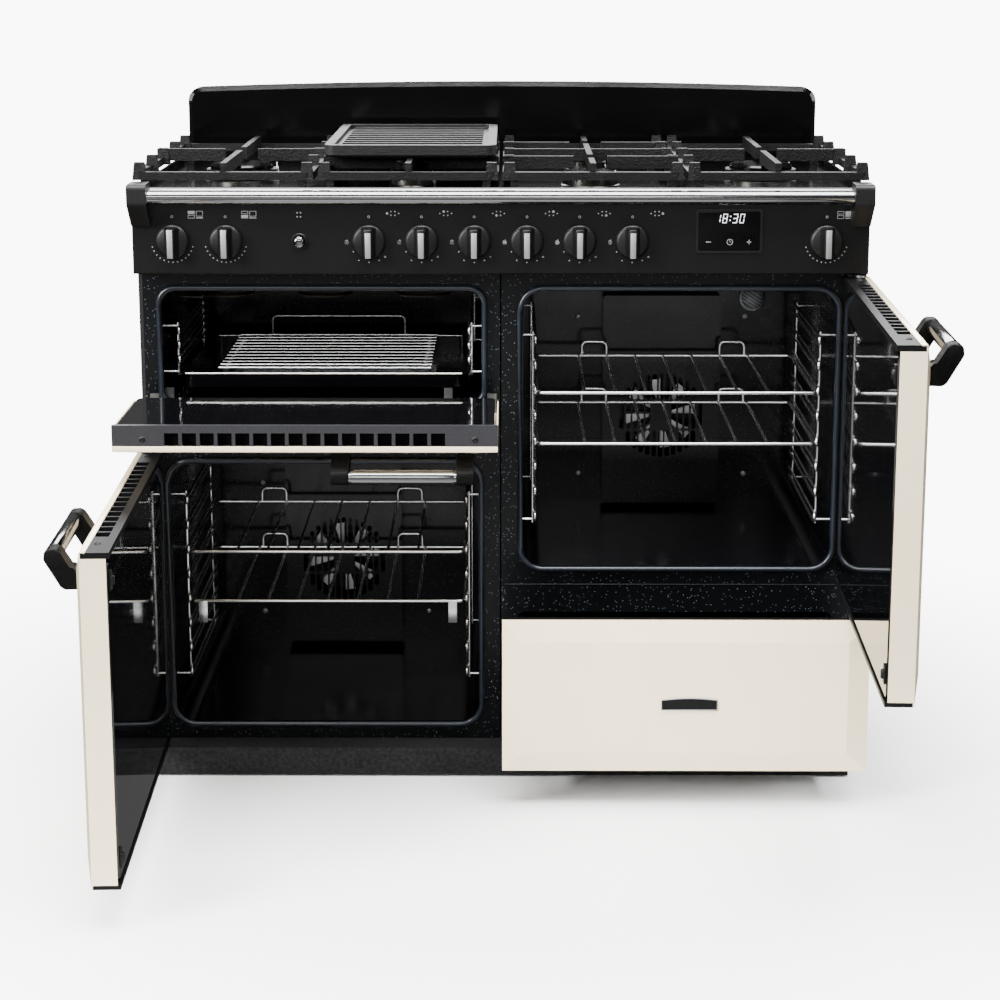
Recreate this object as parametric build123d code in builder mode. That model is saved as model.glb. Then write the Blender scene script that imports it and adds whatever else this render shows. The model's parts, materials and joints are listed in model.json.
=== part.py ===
from build123d import *
import os

# The whole cooker, in millimetres: X to the right, Y to the back, Z up
# Y = 0 is the face of the front frames, Z = 0 the floor, X = 0 the middle
overall_width = 1092
hob_height = 918
carcass_depth = 553
half_width = overall_width / 2
sheet = 1.6

# Heights of the fronts, from the floor up
plinth_height = 47
plinth_gap = 12
drawer_height = 235
finger_gap = 18
grill_door_height = 244
front_gap = 6
panel_height = 116
hob_rim = 12
splash_rise = 121
panel_top = hob_height - hob_rim
panel_bottom = panel_top - panel_height
fronts_top = panel_bottom - front_gap
fronts_bottom = plinth_height + plinth_gap
drawer_top = fronts_bottom + drawer_height
right_door_bottom = drawer_top + finger_gap
grill_door_bottom = fronts_top - grill_door_height

# Section of a door, measured forward from the front frames
lip_stand_off = 8
glass_stand_off = 10
glass_thickness = 5
edge_stand_off = 46
field_stand_off = 55
bevel_width = 32
return_stand_off = 12
trim_height = 8
foot_trim_height = 6
trim_leg = 26
trim_wall = 3
glass_margin = 5
centre_gap = 3
door_width = half_width - centre_gap

# Door hinges and the pose they are left in
pin_diameter = 8
grill_pin_diameter = 6
pin_clearance = 0.05
tongue_thickness = 3
tongue_clearance = 1.5
hinge_inset = 10
oven_hinge_stand_off = 32
grill_hinge_stand_off = 41
grill_hinge_rise = 35
oven_door_angle = 88
grill_door_angle = 90
drawer_opening = 115
grill_hinge_z = grill_door_bottom + grill_hinge_rise
oven_hinge_x = half_width - hinge_inset

# Dog-leg handles, the same on the three doors
handle_length = 204
handle_margin = 33
handle_reach = 42
handle_end_width = 26
handle_bar_diameter = 22
handle_root_top = 33
handle_root_height = 26
handle_sweep_clearance = 3

# The oven door on the left shuts under the dropped grill door's handle
dropped_handle_z = grill_hinge_z - (field_stand_off - grill_hinge_stand_off) - handle_reach
left_door_top = dropped_handle_z - handle_sweep_clearance

# Cavities, seals and what hangs in them
column_shift = 4.5
oven_seal_margin = 26.5
grill_seal_margin = 21.5
seal_width = 8
seal_clearance = 0.5
seal_radius = 40
grill_seal_radius = 30
seal_top_inset = 16
seal_trim_gap = 2
grill_seal_rise = 4
cavity_inset = 9
cavity_depth = 385
fit_gap = 0.3
fan_rise = 159
fan_radius = 62
fan_shaft = 8
baffle_width = 198
baffle_foot = 15
baffle_height = 349
baffle_stand = 34
baffle_corner = 6
element_diameter = 7
ring_radius = 82
motor_radius = 45
motor_length = 50

# Wire ladders, shelves, grill pan and its trivet
rung_diameter = 5
post_diameter = 5
rung_start = 30
rung_end = 325
rung_pair = 13
ladder_first = 68
ladder_pitch = 40
ladder_levels = 8
rung_stand = 19
grill_rung_first = 15
grill_rung_pair = 11
grill_rung_pitch = 23
grill_rung_pairs = 3
shelf_wire = 6
shelf_rod = 5
shelf_rods = 7
shelf_rod_pitch = 47
shelf_inset = 3
shelf_corner = 5
shelf_front = 24
shelf_back = 322
tab_width = 14
tab_height = 34
hoop_rise = 26
hoop_width = 46
hoop_offset = 115
shelf_level_upper = 5
shelf_level_lower = 3
pan_clearance = 1.5
pan_depth = 22
pan_wall = 1.5
pan_front = 14
pan_back = 330
trivet_wire = 4
trivet_wires = 12
trivet_width = 330
trivet_front = 34
trivet_back = 310
trivet_rise = 24
trivet_foot_inset = 20
bail_rise = 32

# Control panel, its knobs, the clock and the handrail
panel_stand_off = 40
panel_wall = 2
knob_drop = 67
knob_pitch = 78
knob_diameter = 50
knob_skirt = 8
knob_grip_width = 14
knob_grip_length = 47
knob_grip_depth = 20
spindle_diameter = 8
spindle_length = 20
grill_knob_inset = 60
left_oven_knob_inset = 139
right_oven_knob_inset = 64
button_inset = 248
button_diameter = 17
button_travel = 3
clock_inset = 208
clock_drop = 51
clock_width = 98
clock_height = 65
clock_rim = 4
rail_diameter = 21
rail_wall = 1.5
rail_stand_off = 26
rail_lift = 2
bracket_width = 29
bracket_top = 22
bracket_drop = 44
bracket_reach = 40

# Hob, burners, pan supports, griddle and splashback
hob_overhang = 30
hob_back = 505
hob_floor = 10
hob_wall = 3
burner_height = 14
cap_height = 8
burner_stem = 15
wok_burner = 58
large_burner = 44
small_burner = 34
support_gap = 6
support_front = -22
support_back = 438
support_bar = 12
support_clearance = 0.2
bar_lift = 20
post_lift = 46
finger_width = 9
post_width = 20
post_depth = 16
post_rows = 5
burner_space = 26
griddle_front = 50
griddle_back = 432
griddle_margin = 4
griddle_height = 19
griddle_rim = 14
griddle_recess = 7
griddle_ridges = 9
griddle_channel_zone = 110
splash_margin = 5
splash_thickness = 30
splash_arch = 10
splash_radius = 24
splash_lip = 7

# Drawer, base, plinth and feet
drawer_box_margin = 33.5
drawer_box_height = 176
drawer_box_floor = 13
drawer_length = 430
drawer_wall = 1.5
drawer_back_stand_off = 34
runner_width = 16
runner_clearance = 0.4
foot_diameter = 44
foot_pad = 10
foot_stem = 14
foot_inset = 66
foot_front = 60
foot_back = 500
base_thickness = 2
inlet_inset = 246
inlet_diameter = 20.96
inlet_length = 16
pipe_diameter = 16

# Places along the width follow the two columns and the outer edges
column_centre = centre_gap + door_width / 2 - column_shift
oven_seal_width = door_width - 2 * oven_seal_margin
grill_seal_width = door_width - 2 * grill_seal_margin
drawer_box_width = door_width - 2 * drawer_box_margin
splash_width = overall_width - 2 * splash_margin
grill_knob_x = -half_width + grill_knob_inset
left_oven_knob_x = -half_width + left_oven_knob_inset
right_oven_knob_x = half_width - right_oven_knob_inset
button_x = -half_width + button_inset
clock_x = half_width - clock_inset
inlet_x = half_width - inlet_inset
foot_x = half_width - foot_inset

# Heights and half widths that the cavities and their fittings share
hob_surface = hob_height - hob_floor
support_width = (overall_width - 3 * support_gap) / 4
support_top = hob_surface + post_lift
knob_z = panel_top - knob_drop
right_seal_bottom = right_door_bottom + foot_trim_height + seal_trim_gap
left_seal_bottom = fronts_bottom + foot_trim_height + seal_trim_gap
oven_floors = {-1: left_seal_bottom + cavity_inset, 1: right_seal_bottom + cavity_inset}
oven_tops = {-1: left_door_top - seal_top_inset, 1: fronts_top - seal_top_inset}
grill_seal_bottom = grill_hinge_z + grill_seal_rise
grill_seal_top = fronts_top - seal_top_inset
grill_floor = grill_seal_bottom + cavity_inset
grill_roof = grill_seal_top - cavity_inset
oven_half = oven_seal_width / 2 - cavity_inset
grill_half = grill_seal_width / 2 - cavity_inset
oven_rung_reach = oven_half - rung_stand
grill_rung_reach = grill_half - rung_stand
baffle_y = cavity_depth - sheet - baffle_stand
glass_back = glass_stand_off + glass_thickness

os.makedirs("parts", exist_ok=True)


def keep(piece, name):
    piece.label = name
    export_step(piece, f"parts/{name}.step")


def wire_section(diameter):
    """Section of a wire, drawn as a six-sided bar."""
    return RegularPolygon(diameter / 2, 6)


def facing(x, y, z):
    """A sketch plane that faces the front, with its own x along X and its own y along Z."""
    return Plane(origin=(x, y, z), x_dir=(1, 0, 0), z_dir=(0, -1, 0))


# Carcass: side panels with folded edges and a back sheet round them
fold = 6
back_fold = 20
side_front = 0
with BuildPart() as casing:
    with BuildSketch(Plane.XY.offset(plinth_height)):
        with BuildLine():
            Polyline(
                (half_width, side_front),
                (half_width, carcass_depth),
                (half_width - back_fold, carcass_depth),
                (half_width - back_fold, carcass_depth - sheet),
                (half_width - sheet, carcass_depth - sheet),
                (half_width - sheet, side_front + sheet),
                (half_width - fold, side_front + sheet),
                (half_width - fold, side_front),
                close=True,
            )
        make_face()
        mirror(about=Plane.YZ)
    extrude(amount=panel_top - plinth_height)
    with BuildSketch(facing(0, carcass_depth - sheet, (plinth_height + panel_top) / 2)):
        Rectangle(overall_width - 2 * sheet, panel_top - plinth_height)
        with Locations((inlet_x, knob_z - (plinth_height + panel_top) / 2)):
            Circle(pipe_diameter / 2 + fit_gap, mode=Mode.SUBTRACT)
    extrude(amount=sheet)
keep(casing.part, "casing")

# Base tray with a folded skirt and the two rails that the drawer runs on
rail_height = fronts_bottom + drawer_box_floor - plinth_height - runner_clearance
with BuildPart() as base_tray:
    with BuildSketch(Plane.XY.offset(plinth_height - base_thickness)):
        with Locations((0, carcass_depth / 2)):
            Rectangle(overall_width - 2 * fold, carcass_depth - 4 * sheet)
    extrude(amount=base_thickness)
    with BuildSketch(Plane.XY.offset(plinth_height)):
        with Locations((column_centre, fold + drawer_length / 2)):
            with GridLocations(drawer_box_width - 2 * runner_width, 1, 2, 1):
                Rectangle(runner_width, drawer_length)
    extrude(amount=rail_height)
keep(base_tray.part, "base_tray")

# Plinth: a folded kick board that closes the front under the doors
plinth_stand_off = 42
plinth_lift = 3
with BuildPart() as plinth:
    with BuildSketch(Plane.YZ.offset(-(half_width - fold))):
        with BuildLine():
            Polyline(
                (-plinth_stand_off, plinth_lift),
                (-plinth_stand_off, plinth_height),
                (0, plinth_height),
                (0, plinth_height - sheet),
                (-plinth_stand_off + sheet, plinth_height - sheet),
                (-plinth_stand_off + sheet, plinth_lift),
                close=True,
            )
        make_face()
    extrude(amount=overall_width - 2 * fold)
    with BuildSketch(Plane.YZ.offset(-(half_width - fold))):
        with Locations((-plinth_stand_off / 2, (plinth_height + plinth_lift) / 2)):
            Rectangle(plinth_stand_off, plinth_height - plinth_lift)
    extrude(amount=sheet)
    mirror(about=Plane.YZ)
keep(plinth.part, "plinth")

# Four levelling feet, screwed up under the base
with BuildPart() as levelling_feet:
    with BuildSketch():
        with Locations((0, (foot_front + foot_back) / 2)):
            with GridLocations(2 * foot_x, foot_back - foot_front, 2, 2):
                Circle(foot_diameter / 2)
    extrude(amount=foot_pad)
    chamfer(levelling_feet.faces().sort_by(Axis.Z)[-1:].edges(), foot_pad / 3)
    with BuildSketch(Plane.XY.offset(foot_pad)):
        with Locations((0, (foot_front + foot_back) / 2)):
            with GridLocations(2 * foot_x, foot_back - foot_front, 2, 2):
                Circle(foot_stem / 2)
    extrude(amount=plinth_height - base_thickness - foot_pad)
keep(levelling_feet.part, "levelling_feet")

# Front frames: one enamelled plate per column, cut out for the cavities and for the drawer
frame_height = panel_bottom - plinth_height
frame_middle = (panel_bottom + plinth_height) / 2
frame_width = half_width - fold - 1
frame_flange = 20
drawer_hole_margin = 6
drawer_hole_radius = 12
drawer_hole_bottom = fronts_bottom + drawer_box_floor - drawer_hole_margin
drawer_hole_top = fronts_bottom + drawer_box_floor + drawer_box_height + drawer_hole_margin
with BuildPart() as front_frames:
    with BuildSketch(facing(0, sheet, frame_middle)):
        with GridLocations(frame_width + 2, 1, 2, 1):
            Rectangle(frame_width, frame_height)
        for side in (-1, 1):
            with Locations((side * column_centre, (oven_floors[side] + oven_tops[side] - cavity_inset) / 2 - frame_middle)):
                RectangleRounded(
                    2 * (oven_half + sheet + fit_gap),
                    oven_tops[side] - cavity_inset - oven_floors[side] + 2 * (sheet + fit_gap),
                    seal_radius - cavity_inset + sheet + fit_gap,
                    mode=Mode.SUBTRACT,
                )
        with Locations((-column_centre, (grill_floor + grill_roof) / 2 - frame_middle)):
            RectangleRounded(
                2 * (grill_half + sheet + fit_gap),
                grill_roof - grill_floor + 2 * (sheet + fit_gap),
                grill_seal_radius - cavity_inset + sheet + fit_gap,
                mode=Mode.SUBTRACT,
            )
        with Locations((column_centre, (drawer_hole_bottom + drawer_hole_top) / 2 - frame_middle)):
            RectangleRounded(
                drawer_box_width + 2 * drawer_hole_margin,
                drawer_hole_top - drawer_hole_bottom,
                drawer_hole_radius,
                mode=Mode.SUBTRACT,
            )
    extrude(amount=sheet)
    with BuildSketch(Plane.XY.offset(panel_bottom - sheet)):
        with Locations((0, frame_flange / 2)):
            with GridLocations(frame_width + 2, 1, 2, 1):
                Rectangle(frame_width, frame_flange)
    extrude(amount=sheet)
keep(front_frames.part, "front_frames")


def make_cavity(x, low, high, half, radius, fan_z):
    """A rounded enamel box, open at the front, with a hole for the fan's shaft where it has a fan."""
    with BuildPart() as cavity:
        with BuildSketch(facing(x, cavity_depth, (low + high) / 2)):
            RectangleRounded(2 * (half + sheet), high - low + 2 * sheet, radius + sheet)
        extrude(amount=cavity_depth)
        with BuildSketch(facing(x, cavity_depth - sheet, (low + high) / 2)):
            RectangleRounded(2 * half, high - low, radius)
        extrude(amount=cavity_depth - sheet, mode=Mode.SUBTRACT)
        if fan_z:
            with BuildSketch(facing(x, cavity_depth, fan_z)):
                Circle(fan_shaft)
            extrude(amount=sheet, mode=Mode.SUBTRACT)
    return cavity.part


keep(
    make_cavity(-column_centre, grill_floor, grill_roof, grill_half, grill_seal_radius - cavity_inset, None),
    "grill_cavity",
)
for side, name in ((-1, "left_oven_cavity"), (1, "right_oven_cavity")):
    keep(
        make_cavity(
            side * column_centre,
            oven_floors[side],
            oven_tops[side] - cavity_inset,
            oven_half,
            seal_radius - cavity_inset,
            oven_floors[side] + fan_rise,
        ),
        name,
    )

# Door seals: three soft tubes round the openings, just clear of the shut glass
seal_openings = (
    (-column_centre, grill_seal_bottom, grill_seal_top, grill_seal_width, grill_seal_radius),
    (-column_centre, left_seal_bottom, oven_tops[-1], oven_seal_width, seal_radius),
    (column_centre, right_seal_bottom, oven_tops[1], oven_seal_width, seal_radius),
)
with BuildPart() as door_seals:
    for x, low, high, width, radius in seal_openings:
        with BuildSketch(facing(x, 0, (low + high) / 2)):
            RectangleRounded(width, high - low, radius)
            RectangleRounded(
                width - 2 * seal_width, high - low - 2 * seal_width, radius - seal_width, mode=Mode.SUBTRACT
            )
    extrude(amount=glass_stand_off - seal_clearance)
keep(door_seals.part, "door_seals")

# Fan baffles: pressed trays on the back walls, with three rows of upright intake slots inside a circle
slot_circle = 73
slot_pitch = 11
slot_width = 8
slot_row = 48
slot_bridge = 3
shortest_slot = 12
hub_columns = 1
last_column = int((slot_circle - slot_width / 2) // slot_pitch)
slots = []
for column in range(-last_column, last_column + 1):
    slot_x = column * slot_pitch
    outer_length = (slot_circle**2 - slot_x**2) ** 0.5 - slot_row / 2 - slot_bridge
    if outer_length > shortest_slot:
        outer_z = slot_row / 2 + slot_bridge + outer_length / 2
        slots += [(slot_x, outer_z, outer_length), (slot_x, -outer_z, outer_length)]
    if abs(column) > hub_columns:
        slots.append((slot_x, 0, slot_row))
with BuildPart() as fan_baffles:
    for side in (-1, 1):
        middle = oven_floors[side] + baffle_foot + baffle_height / 2
        with BuildSketch(facing(side * column_centre, cavity_depth - sheet, middle)):
            RectangleRounded(baffle_width, baffle_height, baffle_corner)
        extrude(amount=baffle_stand)
        with BuildSketch(facing(side * column_centre, cavity_depth - sheet, middle)):
            RectangleRounded(baffle_width - 2 * sheet, baffle_height - 2 * sheet, baffle_corner - sheet)
        extrude(amount=baffle_stand - sheet, mode=Mode.SUBTRACT)
        with BuildSketch(facing(side * column_centre, baffle_y + sheet, oven_floors[side] + fan_rise)):
            for slot_x, slot_z, slot_length in slots:
                with Locations((slot_x, slot_z)):
                    Rectangle(slot_width, slot_length)
            chamfer(vertices(), slot_width / 3)
        extrude(amount=sheet, mode=Mode.SUBTRACT)
keep(fan_baffles.part, "fan_baffles")

# Fan motors behind the back walls, each with a bore for its shaft
shaft_depth = 20
with BuildPart() as fan_motors:
    for side in (-1, 1):
        with BuildSketch(facing(side * column_centre, cavity_depth + motor_length, oven_floors[side] + fan_rise)):
            Circle(motor_radius)
        extrude(amount=motor_length)
        with BuildSketch(facing(side * column_centre, cavity_depth + shaft_depth, oven_floors[side] + fan_rise)):
            Circle(fan_shaft / 2 + pin_clearance)
        extrude(amount=shaft_depth, mode=Mode.SUBTRACT)
    chamfer(fan_motors.faces().sort_by(Axis.Y)[-2:].edges(), motor_radius / 5)
keep(fan_motors.part, "fan_motors")

# Fans: a hub with eight paddles, on a shaft that runs in the motor
fan_blades = 8
fan_hub = 16
fan_depth = 18
fan_blade_thickness = 1.5
fan_gap = 4
fan_y = cavity_depth - sheet - fan_gap
for side, name in ((-1, "left_fan"), (1, "right_fan")):
    fan_z = oven_floors[side] + fan_rise
    with BuildPart() as fan:
        with BuildSketch(facing(side * column_centre, fan_y, fan_z)):
            Circle(fan_hub)
        extrude(amount=fan_depth)
        with BuildSketch(facing(side * column_centre, fan_y, fan_z)):
            with PolarLocations(fan_hub + (fan_radius - fan_hub) / 2 - 1, fan_blades):
                Rectangle(fan_radius - fan_hub + 2, fan_blade_thickness)
        extrude(amount=fan_depth)
        with BuildSketch(facing(side * column_centre, cavity_depth + shaft_depth - 1, fan_z)):
            Circle(fan_shaft / 2)
        extrude(amount=cavity_depth + shaft_depth - 1 - fan_y)
    keep(fan.part, name)

# Heating elements: a ring round each fan, and a looped coil under the grill's roof
coil_drop = 14
coil_front = 40
coil_back = 330
coil_pitch = 76
coil_turns = 3
leg_spread = 24
grill_coil_z = grill_roof - coil_drop
with BuildPart() as heating_elements:
    for side in (-1, 1):
        ring_plane = facing(side * column_centre, cavity_depth - sheet - baffle_stand / 2, oven_floors[side] + fan_rise)
        with BuildSketch(Plane(ring_plane.origin, x_dir=(1, 0, 0), z_dir=(0, 0, 1))):
            with Locations((ring_radius, 0)):
                wire_section(element_diameter)
        revolve(axis=Axis(ring_plane.origin, (0, 1, 0)))
        with BuildSketch(ring_plane):
            with Locations((-leg_spread / 2, ring_radius), (leg_spread / 2, ring_radius)):
                wire_section(element_diameter)
        extrude(amount=-baffle_stand / 2)
    with BuildLine() as coil_path:
        half_coil = coil_pitch * (coil_turns - 0.5)
        points = [(-column_centre - half_coil, cavity_depth - sheet, grill_coil_z)]
        for turn in range(coil_turns):
            x = -column_centre - half_coil + 2 * turn * coil_pitch
            stop = coil_back if turn < coil_turns - 1 else cavity_depth - sheet
            points += [
                (x, coil_front, grill_coil_z),
                (x + coil_pitch, coil_front, grill_coil_z),
                (x + coil_pitch, stop, grill_coil_z),
            ]
            if turn < coil_turns - 1:
                points.append((x + 2 * coil_pitch, stop, grill_coil_z))
        FilletPolyline(*points, radius=coil_pitch / 2.5)
    with BuildSketch(Plane(coil_path.line @ 0, z_dir=coil_path.line % 0)):
        wire_section(element_diameter)
    sweep(path=coil_path.line)
keep(heating_elements.part, "heating_elements")

# Wire ladders: paired rungs on two posts, stood off the cavity's side walls
ladder_posts = (rung_start + 15, rung_end - 15)
post_offset = (rung_diameter + post_diameter) / 2 - 1.2
pan_rim_z = grill_hinge_z + grill_hinge_stand_off - glass_stand_off + pan_clearance + pan_depth
pan_rung_z = pan_rim_z - pan_wall - fit_gap - rung_diameter / 2
grill_pair_lows = [pan_rung_z + grill_rung_first + grill_rung_pitch * n for n in range(grill_rung_pairs)]
grill_rungs = [pan_rung_z] + [z + offset for z in grill_pair_lows for offset in (0, grill_rung_pair)]
ladders_at = [(-column_centre, grill_half, grill_rung_reach, grill_rungs)]
for side in (-1, 1):
    levels = [oven_floors[side] + ladder_first + ladder_pitch * level for level in range(ladder_levels)]
    pairs = [z + offset for z in levels for offset in (-rung_pair / 2, rung_pair / 2)]
    ladders_at.append((side * column_centre, oven_half, oven_rung_reach, pairs))
with BuildPart() as shelf_ladders:
    for x, half, reach, rungs in ladders_at:
        for side in (-1, 1):
            post_x = x + side * (reach + post_offset)
            post_low = min(rungs) - rung_diameter
            post_high = max(rungs) + rung_diameter
            with BuildSketch(facing(x + side * reach, rung_end, 0)):
                with Locations(*[(0, z) for z in rungs]):
                    wire_section(rung_diameter)
            extrude(amount=rung_end - rung_start)
            with BuildSketch(Plane.XY.offset(post_low)):
                with Locations(*[(post_x, y) for y in ladder_posts]):
                    wire_section(post_diameter)
            extrude(amount=post_high - post_low)
            with BuildSketch(Plane.YZ.offset(post_x)):
                with Locations(*[(y, z) for y in ladder_posts for z in (post_low + post_diameter, post_high - post_diameter)]):
                    wire_section(post_diameter)
            extrude(amount=side * (half - reach - post_offset))
keep(shelf_ladders.part, "shelf_ladders")


def make_shelf(x, z, with_tabs):
    """A wire oven shelf: a square frame, rods and a pair of stop hoops at the back."""
    length = shelf_back - shelf_front
    middle = (shelf_back + shelf_front) / 2
    half = oven_rung_reach - shelf_inset
    rods = range(-(shelf_rods // 2), shelf_rods // 2 + 1)
    with BuildPart() as shelf:
        with BuildSketch(Plane.XY.offset(z - shelf_wire / 2)):
            with Locations((x, middle)):
                Rectangle(2 * half + shelf_wire, length + shelf_wire)
                chamfer(vertices(), shelf_corner)
                Rectangle(2 * half - shelf_wire, length - shelf_wire, mode=Mode.SUBTRACT)
        extrude(amount=shelf_wire)
        with BuildSketch(facing(x, shelf_back, z)):
            with Locations(*[(shelf_rod_pitch * n, 0) for n in rods]):
                wire_section(shelf_rod)
        extrude(amount=length)
        with BuildSketch(facing(x, shelf_back + shelf_rod / 2, z + hoop_rise / 2)):
            with GridLocations(2 * hoop_offset, 1, 2, 1):
                Rectangle(hoop_width, hoop_rise)
            with GridLocations(2 * hoop_offset, 1, 2, 1):
                Rectangle(hoop_width - 2 * shelf_rod, hoop_rise - 2 * shelf_rod, mode=Mode.SUBTRACT)
        extrude(amount=shelf_rod)
        if with_tabs:
            with BuildSketch(facing(x, shelf_front, z - tab_height / 2)):
                with GridLocations(2 * (half - shelf_corner - tab_width), 1, 2, 1):
                    Rectangle(tab_width, tab_height)
            extrude(amount=shelf_wire / 2 + sheet)
    return shelf.part


for side, column in ((-1, "left"), (1, "right")):
    for level, height in ((shelf_level_upper, "upper"), (shelf_level_lower, "lower")):
        rung_z = oven_floors[side] + ladder_first + ladder_pitch * level - rung_pair / 2
        shelf_z = rung_z + (rung_diameter + shelf_wire) / 2 + fit_gap
        tabs = side < 0 and level == shelf_level_lower
        keep(make_shelf(side * column_centre, shelf_z, tabs), f"{column}_{height}_shelf")

# Grill pan: a shallow pressed tray hung by its side flanges, low enough to pass over the dropped door
pan_middle = (pan_front + pan_back) / 2
pan_half = grill_rung_reach - rung_diameter / 2 - 4
pan_corner = 18
with BuildPart() as grill_pan:
    with BuildSketch(Plane.XY.offset(pan_rim_z - pan_depth)):
        with Locations((-column_centre, pan_middle)):
            RectangleRounded(2 * pan_half, pan_back - pan_front, pan_corner)
    extrude(amount=pan_depth)
    with BuildSketch(Plane.XY.offset(pan_rim_z - pan_wall)):
        with Locations((-column_centre, pan_middle)):
            Rectangle(2 * (grill_rung_reach + post_offset - post_diameter / 2 - fit_gap), pan_back - pan_front)
    extrude(amount=pan_wall)
    with BuildSketch(Plane.XY.offset(pan_rim_z - pan_depth + pan_wall)):
        with Locations((-column_centre, pan_middle)):
            RectangleRounded(2 * (pan_half - pan_wall), pan_back - pan_front - 2 * pan_wall, pan_corner - pan_wall)
    extrude(amount=pan_depth, mode=Mode.SUBTRACT)
keep(grill_pan.part, "grill_pan")

# Trivet: cross wires on two runners that stand in the pan, with a raised bail at the back
trivet_base = pan_rim_z - pan_depth + pan_wall + fit_gap
trivet_z = trivet_base + trivet_rise
trivet_rail = trivet_width / 2 - 12
trivet_pitch = (trivet_back - trivet_front) / (trivet_wires - 1)
bail_half = 110
with BuildPart() as grill_trivet:
    with BuildSketch(Plane.YZ.offset(-column_centre - trivet_width / 2)):
        with Locations(*[(trivet_front + trivet_pitch * n, trivet_z) for n in range(trivet_wires)]):
            wire_section(trivet_wire)
    extrude(amount=trivet_width)
    with BuildSketch(facing(-column_centre, trivet_back, trivet_z - trivet_wire / 2)):
        with GridLocations(2 * trivet_rail, 1, 2, 1):
            wire_section(trivet_wire)
    extrude(amount=trivet_back - trivet_front)
    with BuildSketch(Plane.XY.offset(trivet_base)):
        with Locations((-column_centre, (trivet_front + trivet_back) / 2)):
            with GridLocations(2 * trivet_rail, trivet_back - trivet_front - 2 * trivet_foot_inset, 2, 2):
                wire_section(trivet_wire)
    extrude(amount=trivet_rise - trivet_wire / 2)
    with BuildLine(Plane.XZ.offset(-trivet_back)) as bail:
        FilletPolyline(
            (-column_centre - bail_half, trivet_z),
            (-column_centre - bail_half, trivet_z + bail_rise),
            (-column_centre + bail_half, trivet_z + bail_rise),
            (-column_centre + bail_half, trivet_z),
            radius=2 * trivet_wire,
        )
    with BuildSketch(Plane(bail.line @ 0, z_dir=bail.line % 0)):
        wire_section(trivet_wire)
    sweep(path=bail.line)
keep(grill_trivet.part, "grill_trivet")

# Hinges: tongues with pins above and below the oven doors, and two arms for the grill door
tongue_half = 12
tongue_foot = 30
pin_length = trim_height + tongue_clearance + 4
arm_thickness = 4
arm_foot_half = 8
arm_height = 11
arm_eye = 5
lug_length = 12
arm_gap = 4.5
oven_tongues = []
for side, low, high in ((-1, fronts_bottom, left_door_top), (1, right_door_bottom, fronts_top)):
    oven_tongues.append((side, high + tongue_clearance, -1))
    oven_tongues.append((side, low - tongue_clearance - tongue_thickness, 1))
grill_arms = (
    (-column_centre - grill_seal_width / 2 - arm_gap - arm_thickness, -1),
    (-column_centre + grill_seal_width / 2 + arm_gap, 1),
)
with BuildPart() as door_hinges:
    for side, z, way in oven_tongues:
        tongue_x = side * oven_hinge_x
        with BuildSketch(Plane.XY.offset(z)):
            with Locations((tongue_x, -oven_hinge_stand_off / 2)):
                Rectangle(2 * tongue_half - 6, oven_hinge_stand_off)
            with Locations((tongue_x, -oven_hinge_stand_off)):
                Circle(tongue_half - 3)
        extrude(amount=tongue_thickness)
        with BuildSketch(Plane.XY.offset(z + tongue_thickness / 2)):
            with Locations((tongue_x, -oven_hinge_stand_off)):
                Circle(pin_diameter / 2)
        extrude(amount=way * (pin_length + tongue_thickness / 2))
        foot_z = z + tongue_thickness / 2 - way * (tongue_thickness / 2 - tongue_foot / 2) if way > 0 else z + tongue_thickness - tongue_foot / 2
        with BuildSketch(facing(tongue_x - side * 5, 0, foot_z)):
            Rectangle(2 * tongue_half - 6, tongue_foot)
        extrude(amount=sheet)
    for arm_x, way in grill_arms:
        with BuildSketch(Plane.YZ.offset(arm_x)):
            with Locations((-grill_hinge_stand_off / 2, grill_hinge_z + arm_height / 2)):
                Rectangle(grill_hinge_stand_off, arm_height)
            with Locations((-grill_hinge_stand_off, grill_hinge_z)):
                Circle(arm_eye)
        extrude(amount=arm_thickness)
        pin_plane = Plane.YZ.offset(arm_x if way > 0 else arm_x + arm_thickness)
        with BuildSketch(pin_plane):
            with Locations((-grill_hinge_stand_off, grill_hinge_z)):
                Circle(grill_pin_diameter / 2)
        extrude(amount=-way * (lug_length + 4))
        with BuildSketch(facing(arm_x + arm_thickness / 2, 0, grill_hinge_z + arm_height / 2)):
            Rectangle(2 * arm_foot_half - 2, 2 * tongue_foot / 1.5)
        extrude(amount=sheet)
keep(door_hinges.part, "door_hinges")


def make_skin(x_low, x_high, z_low, z_high, back, top_trim, foot_trim):
    """A pressed front: side returns, a bevelled border and a flat field, open at the back and where the trims go."""
    x, z = (x_low + x_high) / 2, (z_low + z_high) / 2
    width, height = x_high - x_low, z_high - z_low
    with BuildPart() as skin:
        with BuildSketch(facing(x, -back, z)):
            Rectangle(width, height)
        extrude(amount=edge_stand_off - back)
        with BuildSketch(facing(x, -edge_stand_off, z)):
            Rectangle(width, height)
        with BuildSketch(facing(x, -field_stand_off, z)):
            Rectangle(width - 2 * bevel_width, height - 2 * bevel_width)
        loft()
        with BuildSketch(facing(x, -back, z)):
            Rectangle(width - 2 * sheet, height - 2 * sheet)
        extrude(amount=edge_stand_off - sheet - back, mode=Mode.SUBTRACT)
        with BuildSketch(facing(x, -edge_stand_off + sheet, z)):
            Rectangle(width - 2 * sheet, height - 2 * sheet)
        with BuildSketch(facing(x, -field_stand_off + sheet, z)):
            Rectangle(width - 2 * bevel_width, height - 2 * bevel_width)
        loft(mode=Mode.SUBTRACT)
        for low, high in ((z_high - top_trim, z_high), (z_low, z_low + foot_trim)):
            if high > low:
                with BuildSketch(facing(x, -back, (low + high) / 2)):
                    Rectangle(width, high - low)
                extrude(amount=edge_stand_off - sheet - back, mode=Mode.SUBTRACT)
    return skin.part


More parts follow.
